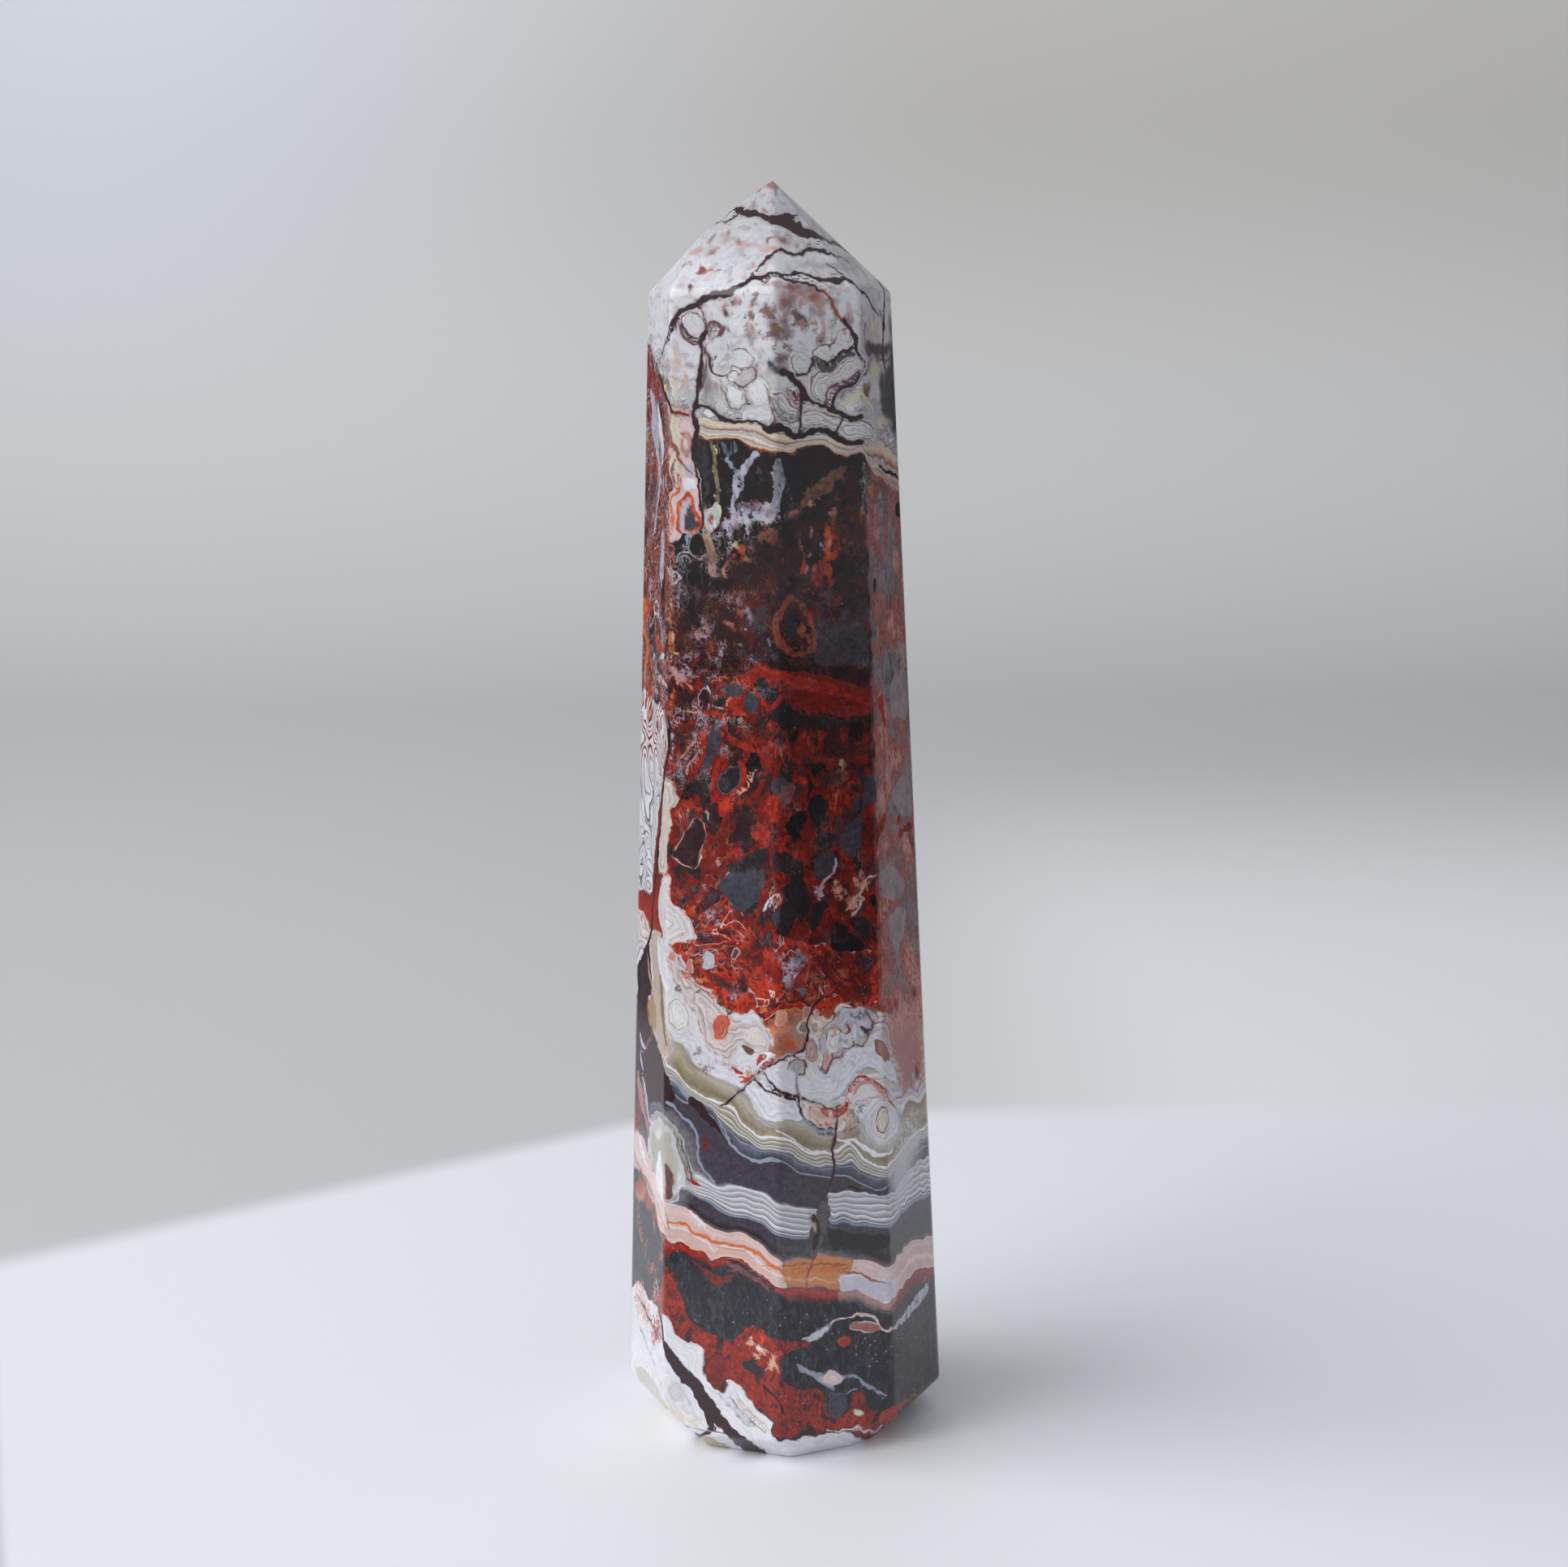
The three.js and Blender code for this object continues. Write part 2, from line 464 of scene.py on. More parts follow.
def airbrush(name, spots):
    """Soft spots, each given as a colour, a strength and places with two radii and a turn."""
    share = np.zeros(len(stone))
    colour = np.tile(linear("white"), (len(stone), 1))
    for shade, strength, text in spots:
        for place in text.split():
            across, down, wide, tall, *turned = [float(number) for number in place.split(",")]
            x, y = sheet_place(across, down)
            wide *= float(sheet_place(across + 1, down)[0] - sheet_place(across - 1, down)[0]) / 2
            lean = math.radians(turned[0]) if turned else 0
            there = np.stack([sheet_x - x, sheet_y - y], 1)
            along = (there[:, 0] * math.cos(lean) + there[:, 1] * math.sin(lean)) / wide
            beside = (there[:, 1] * math.cos(lean) - there[:, 0] * math.sin(lean)) / tall
            added = strength * np.exp(-((along**2 + beside**2) ** 1.5))
            total = added + share * (1 - added)
            part = np.divide(added, total, out=np.zeros_like(total), where=total > 1e-4)[:, None]
            colour = colour * (1 - part) + linear(shade) * part
            share = total
    colour = np.hstack([colour, np.ones((len(stone), 1))])
    layers[name] = {"amount": share, "colour": colour}
    print(name, "has", sum(len(text.split()) for _, _, text in spots), "spots")


def line_heights(text):
    """A line drawn right across the sheet, read off at every vertex."""
    rows = rounded(trace(text))
    return np.interp(sheet_x, np.maximum.accumulate(rows[:, 0]), rows[:, 1])


def share_of(text, soften=25):
    """1 inside a closed path, 0 outside, with a soft rim."""
    rows = rounded(trace(text), closed=True)
    near = nearby(rows, soften * 2)
    loop = np.vstack([rows, rows[:1]])
    loop[:, 2] = 0
    there, wide, gap = arrow_to(loop, sheet_x[near], sheet_y[near])
    signed = np.where(encloses(rows, sheet_x[near], sheet_y[near]), gap, -gap)
    share = np.zeros(len(stone))
    share[near] = np.clip(0.5 + signed / soften / 2, 0, 1)
    return share

# %% [markdown]
# ## Zones and bands
# From top to foot the stone passes through a dozen zones, each ending in a wavy line. Those
# lines are drawn once, right across the sheet, and every vertex gets a level between them. A
# colour ramp over the level then gives both the zones and the fine bands inside them, and the
# bands follow the wavy lines, bend together and break together at the faults.

# %% Lines between the zones
ZONE_LINES = {
    "white_end": "796,455 812,462 822,475 828,500 845,508 858,512 870,514 880,517 905,522 920,520 935,524 "
    "945,528 960,536 975,541 990,538 1005,535 1020,537 1035,545 1062,547 1070,548 1083,541 1095,549 1108,562",
    "lace_end": "796,520 826,560 850,560 858,541 870,545 880,543 895,540 905,541 915,547 925,551 935,554 "
    "948,556 960,558 975,556 985,553 995,550 1010,548 1018,551 1024,558 1030,562 1045,562 1062,560 "
    "1075,585 1083,592 1095,602 1108,612",
    "black_end": "780,700 826,760 850,800 885,770 880,740 900,722 940,720 960,700 985,665 1010,645 "
    "1062,640 1100,640",
    "maroon_end": "780,850 900,850 1000,900 1150,900",
    "breccia_end": "780,1080 826,1080 860,1075 880,1085 900,1110 915,1128 940,1135 960,1150 1000,1158 "
    "1084,1165 1135,1170",
    "moss_end": "780,1110 812,1150 826,1165 835,1185 845,1200 860,1210 880,1225 900,1240 930,1245 950,1258 "
    "985,1245 1000,1240 1020,1245 1040,1235 1080,1238 1100,1250 1135,1260",
    "khaki_end": "780,1290 800,1290 812,1290 818,1303 835,1322 850,1341 870,1351 893,1361 903,1365 910,1375 "
    "920,1388 935,1398 950,1401 965,1403 975,1406 985,1413 1000,1420 1026,1422 1028,1417 1035,1415 1045,1408 "
    "1050,1410 1060,1422 1070,1430 1085,1436 1097,1434 1110,1418 1130,1395 1148,1385",
    "grey_end": "780,1330 800,1320 812,1325 822,1345 835,1355 850,1360 865,1370 880,1378 885,1390 893,1403 "
    "905,1418 920,1427 940,1431 955,1430 970,1436 985,1445 1005,1451 1026,1451 1028,1448 1040,1452 1052,1455 "
    "1065,1462 1085,1466 1097,1462 1110,1448 1130,1420 1150,1410",
    "plum_end": "780,1420 800,1440 830,1450 858,1450 870,1456 885,1462 900,1463 915,1464 930,1468 945,1475 "
    "960,1483 975,1488 990,1490 1008,1493 1018,1493 1022,1470 1098,1470 1110,1455 1130,1432 1150,1425",
    "stack_end": "780,1440 815,1458 835,1466 850,1472 865,1479 880,1489 895,1498 910,1501 925,1504 940,1511 "
    "955,1521 965,1526 980,1528 998,1527 1002,1500 1018,1500 1026,1508 1045,1509 1060,1511 1085,1515 "
    "1098,1514 1105,1505 1120,1488 1135,1480 1148,1474",
    "dark_end": "780,1460 815,1478 822,1482 835,1485 848,1489 858,1495 865,1505 878,1514 895,1517 915,1519 "
    "930,1527 945,1540 958,1550 965,1556 972,1552 985,1550 1010,1547 1040,1549 1055,1552 1075,1553 1085,1560 "
    "1095,1562 1105,1550 1115,1535 1125,1528 1150,1522",
    "pink_end": "780,1500 815,1518 820,1526 828,1531 835,1531 848,1535 860,1543 870,1546 878,1556 884,1550 "
    "890,1548 905,1552 920,1556 930,1565 940,1573 950,1582 957,1588 975,1587 1000,1585 1030,1587 1045,1590 "
    "1060,1590 1070,1595 1078,1601 1090,1605 1100,1603 1108,1592 1115,1582 1125,1570 1132,1563 1150,1562",
    "rim_end": "780,1540 818,1560 830,1545 850,1550 870,1562 885,1568 905,1556 925,1562 940,1580 957,1596 "
    "975,1602 1000,1612 1030,1610 1060,1605 1078,1615 1100,1618 1115,1605 1125,1592 1150,1580",
}
SHEET_TOP = 215
SHEET_FOOT = 1800

heights = [np.full(len(stone), SHEET_TOP)]
for text in ZONE_LINES.values():
    heights.append(np.maximum(line_heights(text), heights[-1] + 1))
heights.append(np.full(len(stone), SHEET_FOOT))
level = np.zeros(len(stone))
for number, (upper, lower) in enumerate(zip(heights[:-1], heights[1:])):
    level = np.where(sheet_y >= upper, number + (sheet_y - upper) / (lower - upper), level)
level = np.clip(level, 0, len(ZONE_LINES) + 1)
print("levels", level.min().round(2), "to", level.max().round(2))

# %% From here on the pen trembles a little
sheet_x = sheet_x + 1.0 * waves(sheet, 13, 11)
sheet_y = sheet_y + 1.0 * waves(sheet, 13, 13)

# %% [markdown]
# ## Soft spots
# Many of the markings have no outline at all: blushes in the white, smoke round the knots, and
# the glow of orange in the dark jasper. These are airbrushed on before anything sharp.

# %% Airbrushed spots
SOFT_SPOTS = [
    ("blush", 0.55, "936,232,5,5 952,247,3,7 947,226,3,6 858,310,10,6 927,326,4,5 925,301,18,5 945,308,18,5"),
    ("mauve", 0.45, "958,233,3,9 930,248,3,12 951,225,10,7 970,294,8,8 982,304,5,4 996,302,4,9 1003,275,3,3 "
     "930,277,3,3 918,313,5,3 876,295,4,6 908,267,4,4"),
    ("brick", 0.6, "936,233,3,3 951,293,8,3 946,297,3,3"),
    ("rust", 0.55, "963,296,7,4 898,288,5,5 910,298,5,5 845,326,7,3 878,309,8,5 944,258,8,3"),
    ("sand", 0.5, "893,295,7,5 870,314,5,3 912,303,6,4 915,255,8,5"),
    ("fog", 0.35, "1020,330,28,12 1050,325,20,16 868,297,9,3 985,325,25,8 1075,375,10,25 905,315,8,6"),
    ("umber", 0.5, "857,369,5,3 895,385,6,7 904,370,4,6 917,368,3,4 882,477,7,7 953,400,5,24 968,398,4,18 "
     "1002,366,9,6"),
    ("mauve", 0.5, "908,423,9,6 935,434,5,9 925,412,12,8 930,374,9,5 975,378,10,16 1014,388,6,6 1009,423,9,6 "
     "963,414,15,8 975,350,20,5 988,443,5,6 852,452,10,5 849,356,4,4 1047,396,4,10 880,368,10,4 990,355,25,6"),
    ("blush", 0.35, "925,403,6,6 1000,366,18,10 945,352,16,5 1022,405,8,16 962,372,5,12 1040,400,10,14 893,376,14,8 "
     "838,450,3,14 845,470,4,12 1012,375,10,12 975,368,22,12 840,345,10,12"),
    ("rust", 0.45, "962,370,4,9 1014,405,4,14 975,353,7,5 926,403,3,4 1002,365,5,6 1012,416,4,7"),
    ("plum", 0.9, "987,391,5,6 990,395,5,5 903,371,3,4 896,386,3,5 849,355,3,3"),
    ("brick", 0.7, "1048,392,4,8 1023,354,3,3"),
    ("vein", 0.9, "1033,362,3,3"),
    ("pearl", 0.5, "866,450,8,16 963,433,16,8 850,490,7,12 876,490,7,12 900,517,18,5 955,478,14,4 985,468,12,7"),
    ("peach", 0.4, "838,445,5,9 843,470,5,12 836,500,6,8 845,540,6,12 832,465,3,8"),
    ("umber", 0.7, "1066,484,5,12 1070,476,4,8"),
    ("smoke", 0.85, "962,455,12,7 962,443,9,6 990,397,7,6 1070,430,7,10"),
    ("soot", 0.95, "949,450,6,9 958,456,9,5"),
    ("fog", 0.5, "872,470,7,14 880,490,6,10 916,503,5,6 948,470,7,10 1008,452,8,7 872,450,5,10"),
    ("dusk", 0.5, "945,395,6,22 960,405,8,14 972,395,5,16 985,372,14,8 1000,385,8,8 1010,418,8,6 1030,372,8,6 "
     "868,460,4,16 872,480,5,14 946,460,10,6 925,500,5,3 893,508,8,3"),
    ("dusk", 0.45, "868,492,4,10 873,478,4,6 1012,452,9,6 1030,446,9,4 1046,438,8,4 1042,486,10,5 900,513,12,3"),
    ("mauve", 0.4, "965,372,8,10 990,405,8,6 950,382,6,10 925,420,6,6 905,412,5,5"),
    ("snow", 0.7, "940,370,8,6 985,372,6,8 945,415,6,10 1030,395,6,10 905,420,8,5"),
    ("snow", 0.6, "1045,360,20,12 1055,385,12,14 935,390,10,8 905,395,9,6 1000,348,20,5 868,352,12,8"),
    ("cream", 0.6, "832,440,4,22 832,482,5,16 1078,405,10,9 1076,460,8,14 968,500,12,10 968,485,12,6"),
    ("slate", 0.7, "1100,470,8,40 1103,520,6,30 1088,430,12,8 1104,440,6,16 1092,500,8,20"),
    ("sage", 0.75, "1050,493,12,4 1072,408,9,10 1078,455,8,12 1098,395,4,14"),
    ("smoke", 0.8, "1092,500,7,26 1086,470,4,14 1080,431,9,6 1060,506,8,3"),
    ("cream", 0.8, "1076,400,8,9 1078,455,6,10 1048,494,14,4 1086,520,10,6"),
    ("smoke", 0.7, "1082,436,8,12 1095,470,8,22 1100,410,5,20 1070,425,6,8"),
    ("maroon", 0.9, "877,505,5,4"),
    ("soot", 0.9, "868,578,8,28"),
    ("slate", 0.6, "868,570,6,18 872,605,5,12 935,585,6,14 920,712,8,10 843,690,5,6 862,672,5,7 912,662,4,8"),
    ("lilac", 0.75, "925,632,27,13 897,648,8,12 905,636,6,12 899,670,6,14 957,600,6,26 953,625,8,12"),
    ("pearl", 0.8, "915,640,8,7 938,640,13,7 952,640,10,9 921,652,3,12 842,672,5,7 852,658,9,6 946,624,4,5"),
    ("mauve", 0.6, "922,622,9,5 906,648,5,8 930,622,12,6 948,632,5,5 897,690,6,12 1030,615,7,11 870,690,5,5 "
     "1050,665,14,14"),
    ("ink", 0.9, "913,660,4,9 927,649,3,7"),
    ("umber", 0.8, "950,655,12,7 940,664,9,5 1033,584,8,8 1022,592,9,6 1000,605,14,7,-30 992,622,6,4 1027,640,4,13 "
     "985,659,4,5 1001,662,3,8 962,668,7,8 905,697,10,5 922,693,6,5"),
    ("gold", 0.8, "1008,602,10,5,-25 999,611,7,6 881,560,3,8 884,597,3,7 880,578,3,6"),
    ("butter", 0.85, "999,617,4,4 883,612,3,4 907,671,4,5 882,553,2,5"),
    ("rust", 0.8, "982,632,10,5 972,637,6,4 952,664,9,5 915,678,8,5 990,697,6,9 942,655,10,4 964,690,3,8"),
    ("tan", 0.8, "1002,655,3,9 992,684,5,5 920,690,4,4 1010,614,5,3 1021,602,4,4 978,630,4,3"),
    ("blush", 0.7, "987,672,2,9 995,700,4,6 1000,624,5,3 1028,630,8,5 893,700,5,8"),
    ("flame", 0.95, "1022,660,7,14 1018,684,9,9 1011,702,8,13 1019,706,8,6 1028,684,5,8 915,684,5,5 988,699,4,6 "
     "1007,715,5,8"),
    ("orange", 0.85, "1019,660,3,9 1020,678,4,8 1018,700,5,5 914,676,5,3"),
    ("red", 0.85, "1005,712,6,8 1024,716,4,9 906,685,4,5 1030,672,4,16"),
    ("pearl", 0.9, "1013,673,3,5 1006,702,3,3"),
    ("peach", 0.9, "1021,669,2,6 1017,703,2,3 1002,652,2,4"),
    ("maroon", 0.85, "1050,598,12,28 1052,655,12,14"),
    ("brick", 0.5, "1048,634,12,8 1000,730,20,12"),
    ("orange", 0.9, "1073,604,4,9 1062,634,2,9"),
    ("tan", 0.7, "1061,625,2,10 1085,610,2,12"),
    # Painted highlight: thin pale marks along the edge between the right front side and the right side, where the
    # rounded edge shines.
    ("fog", 0.7, "1066,585,2,30 1063,615,2,12 1070,640,2,10 1095,630,1,26"),
    ("plum", 0.8, "935,765,16,26 915,805,10,8 850,730,20,14 928,812,8,8"),
    ("ink", 0.9, "845,785,8,11 863,800,10,8 855,745,18,10 850,765,10,8 836,812,4,4 1000,640,30,8 970,668,20,14"),
    ("lilac", 0.7, "890,798,9,13 848,808,12,7 845,826,12,9 863,783,14,8 922,756,4,10 868,765,6,9 877,733,6,4 "
     "858,732,4,6 1010,1098,7,12 954,965,4,6 950,792,4,6 828,915,3,28"),
    ("blush", 0.7, "858,778,8,6 872,776,6,5 838,838,8,10 852,835,10,6 900,771,7,6 832,830,5,8 880,835,12,4"),
    ("umber", 0.7, "886,745,3,14 903,735,4,9 870,765,3,10 1040,945,4,4 1035,960,18,14"),
    ("rust", 0.8, "912,753,4,12 905,775,10,5 826,790,5,30 832,770,4,12 988,780,4,18 996,790,4,10 875,800,5,14"),
    ("orange", 0.8, "826,760,3,8 824,785,3,10 890,836,8,4 868,828,7,4 828,860,3,14 992,778,2,9"),
    ("butter", 0.8, "826,745,2,7 829,787,2,6 834,806,4,2 918,772,3,2 912,793,5,2,15 866,775,5,2 1035,942,3,4,-40"),
    ("red", 0.9, "938,826,14,8 920,842,10,6 895,995,13,15 960,990,7,16 880,985,8,10 850,990,10,8 940,1030,9,22 "
     "965,1040,10,14 906,1050,14,5,-25 885,905,6,18 868,915,4,18 1045,985,5,12 985,960,10,7,-40 1055,960,5,9"),
    ("flame", 0.7, "945,825,7,5 895,992,7,9 958,985,5,9 925,845,5,4 990,965,8,5,-40 930,1030,4,14"),
    ("ember", 0.85, "1000,842,26,10 1045,862,24,11 985,858,16,8 972,740,6,12 962,760,4,14 1012,705,8,14 "
     "1030,740,4,16 1068,1040,6,26 1072,1010,4,18 1000,1010,6,20 1050,1110,20,7"),
    ("slate", 0.9, "1035,795,28,18 1050,780,14,12 1015,785,8,18 952,808,8,7 975,765,6,12 1020,735,5,14 "
     "1042,755,6,12"),
    ("maroon", 0.85, "1000,895,40,9 1040,925,36,16 1020,958,16,10 975,945,10,12 840,870,8,22 850,925,14,26 "
     "905,925,12,10 935,900,16,13 1060,720,10,30 1060,660,6,30 960,910,14,10"),
    ("mauve", 0.6, "855,905,12,4,30 848,930,5,12 838,1100,14,12 885,1118,14,9 865,1150,12,7 905,1218,16,9 "
     "935,1205,10,8 860,1168,12,5 930,1120,6,4 970,985,6,8"),
    ("lilac", 0.7, "876,1128,8,7 886,1138,5,5 948,1112,7,6 975,1188,16,10 970,1205,10,12 880,1190,6,8 905,1228,8,4"),
    ("flame", 0.75, "850,1122,7,9 885,1145,7,5 925,1148,14,8 880,1222,6,9 920,1232,14,8 905,1202,9,6 "
     "850,1162,12,4 836,1100,5,6"),
    ("orange", 0.7, "846,1203,6,6 888,1232,6,4 940,1245,9,5 866,1208,5,4 855,1120,4,6 965,1250,12,8"),
    ("peach", 0.9, "1034,1096,11,13 1050,1112,6,13,30 1066,1090,9,8,-30 1055,1086,5,5"),
    ("ember", 0.8, "985,1220,20,14 1030,1190,34,9 1045,1225,24,8 930,1185,18,12 905,1165,14,6 1060,1205,14,10"),
    ("steel", 0.8, "958,1178,8,5 985,1180,9,5 1060,1250,14,8 1045,1262,8,8 1075,1248,6,5 990,1222,4,5"),
    ("ash", 0.6, "1108,856,8,24 1112,985,9,20 1098,1088,12,18 1106,1140,7,24 1121,920,4,22"),
    ("blush", 0.75, "1112,1270,12,40 1130,1240,10,50 1140,1310,8,40"),
    ("veil", 0.9, "1108,1285,14,34 1124,1300,14,44 1116,1330,10,20"),
    ("pearl", 0.6, "1120,1400,20,40 1110,1450,16,30"),
    ("lilac", 0.6, "884,1309,14,6 902,1312,14,7 850,1275,8,8 862,1296,5,6 1030,1330,14,8 1050,1310,12,8 965,1325,10,8"),
    ("blush", 0.7, "905,1319,11,6 925,1318,6,10 920,1329,8,4 893,1312,6,4 1012,1272,5,12 998,1262,6,10"),
    ("orange", 0.75, "962,1254,8,8 975,1285,8,8 968,1268,12,6 843,1202,7,6 868,1208,5,5"),
    ("blush", 0.7, "848,1175,6,6 858,1205,7,5 835,1190,6,6 842,1150,5,5"),
    ("brick", 0.6, "1010,1250,8,10 1003,1225,10,8 1062,1228,18,8 1085,1210,6,20 1046,1180,14,6"),
    ("maroon", 0.75, "930,1180,10,6 1006,1182,12,5 880,1205,5,6 1015,1205,14,8 890,1236,6,5 905,1248,5,3 918,1252,5,3"),
    ("flame", 0.5, "972,1288,10,8 956,1300,6,6"),
    ("orange", 0.95, "961,1258,7,8 954,1272,5,8"),
    ("brick", 0.7, "987,1272,5,16 978,1296,8,4"),
    ("umber", 0.5, "872,1316,16,7,35 858,1300,6,10 1056,1378,8,14 1048,1392,10,6"),
    ("ink", 0.8, "868,726,26,12 890,722,14,8 850,742,14,10 900,716,14,6"),
    ("maroon", 0.8, "835,1218,6,6 862,1222,9,4 1030,1175,24,5 1062,1220,14,12"),
    ("snow", 0.6, "811,1396,6,8 836,1455,3,14"),
    ("blush", 0.7, "790,1470,6,10 788,1600,8,30 797,1620,6,20 808,1590,5,20"),
    ("mauve", 0.8, "788,1365,4,24 793,1350,3,14"),
    ("red", 0.8, "808,1640,8,24 814,1610,4,18 789,1462,5,8 797,1475,4,8"),
    ("rust", 0.8, "788,1462,5,12 800,1484,4,10 806,1506,3,14 790,1520,3,12 803,1562,8,8 815,1545,3,14"),
    ("mauve", 0.7, "786,1500,4,18 796,1540,4,16"),
    ("peach", 0.95, "924,1655,8,5,30 938,1664,8,5,40 950,1680,5,12,20 932,1672,6,5"),
    ("snow", 0.9, "922,1650,4,3 936,1662,3,3"),
    ("flame", 0.8, "940,1650,6,10 958,1690,5,10 962,1668,8,5"),
    ("orange", 0.7, "990,1362,3,6 1044,1370,4,7 1020,1387,10,3 968,1344,8,2 923,1327,4,4 962,1268,5,5"),
    ("dusk", 0.6, "1050,1372,3,10 1058,1396,8,8 1062,1366,5,8 1000,1402,18,3 905,1350,12,5"),
    ("tan", 0.5, "1030,1306,8,8 1038,1312,5,5 1018,1325,6,4"),
    ("blush", 0.6, "1103,690,5,22 1112,800,5,24 1088,880,6,26 1118,1040,7,24 1122,1180,8,30 1110,1250,10,30 "
     "1087,985,5,20 1082,660,4,16"),
    ("ember", 0.9, "1084,866,3,9 1087,882,1.5,10 1080,1022,3,9,-20 1088,1012,2,12,20 1108,1012,2,6 1110,1028,4,5 "
     "1121,1020,3,7 1124,1040,2,7 1128,1055,2,10 1104,1238,3,8 1127,1225,3,9 1130,1320,3,10 1097,740,1,14"),
]
airbrush("soft", SOFT_SPOTS)

# %% [markdown]
# ## Patches
# Large areas go into the lower layer and small ones, such as broken fragments and lobes, into
# the upper one, so a small patch always keeps a clean outline where it lies on a large one.

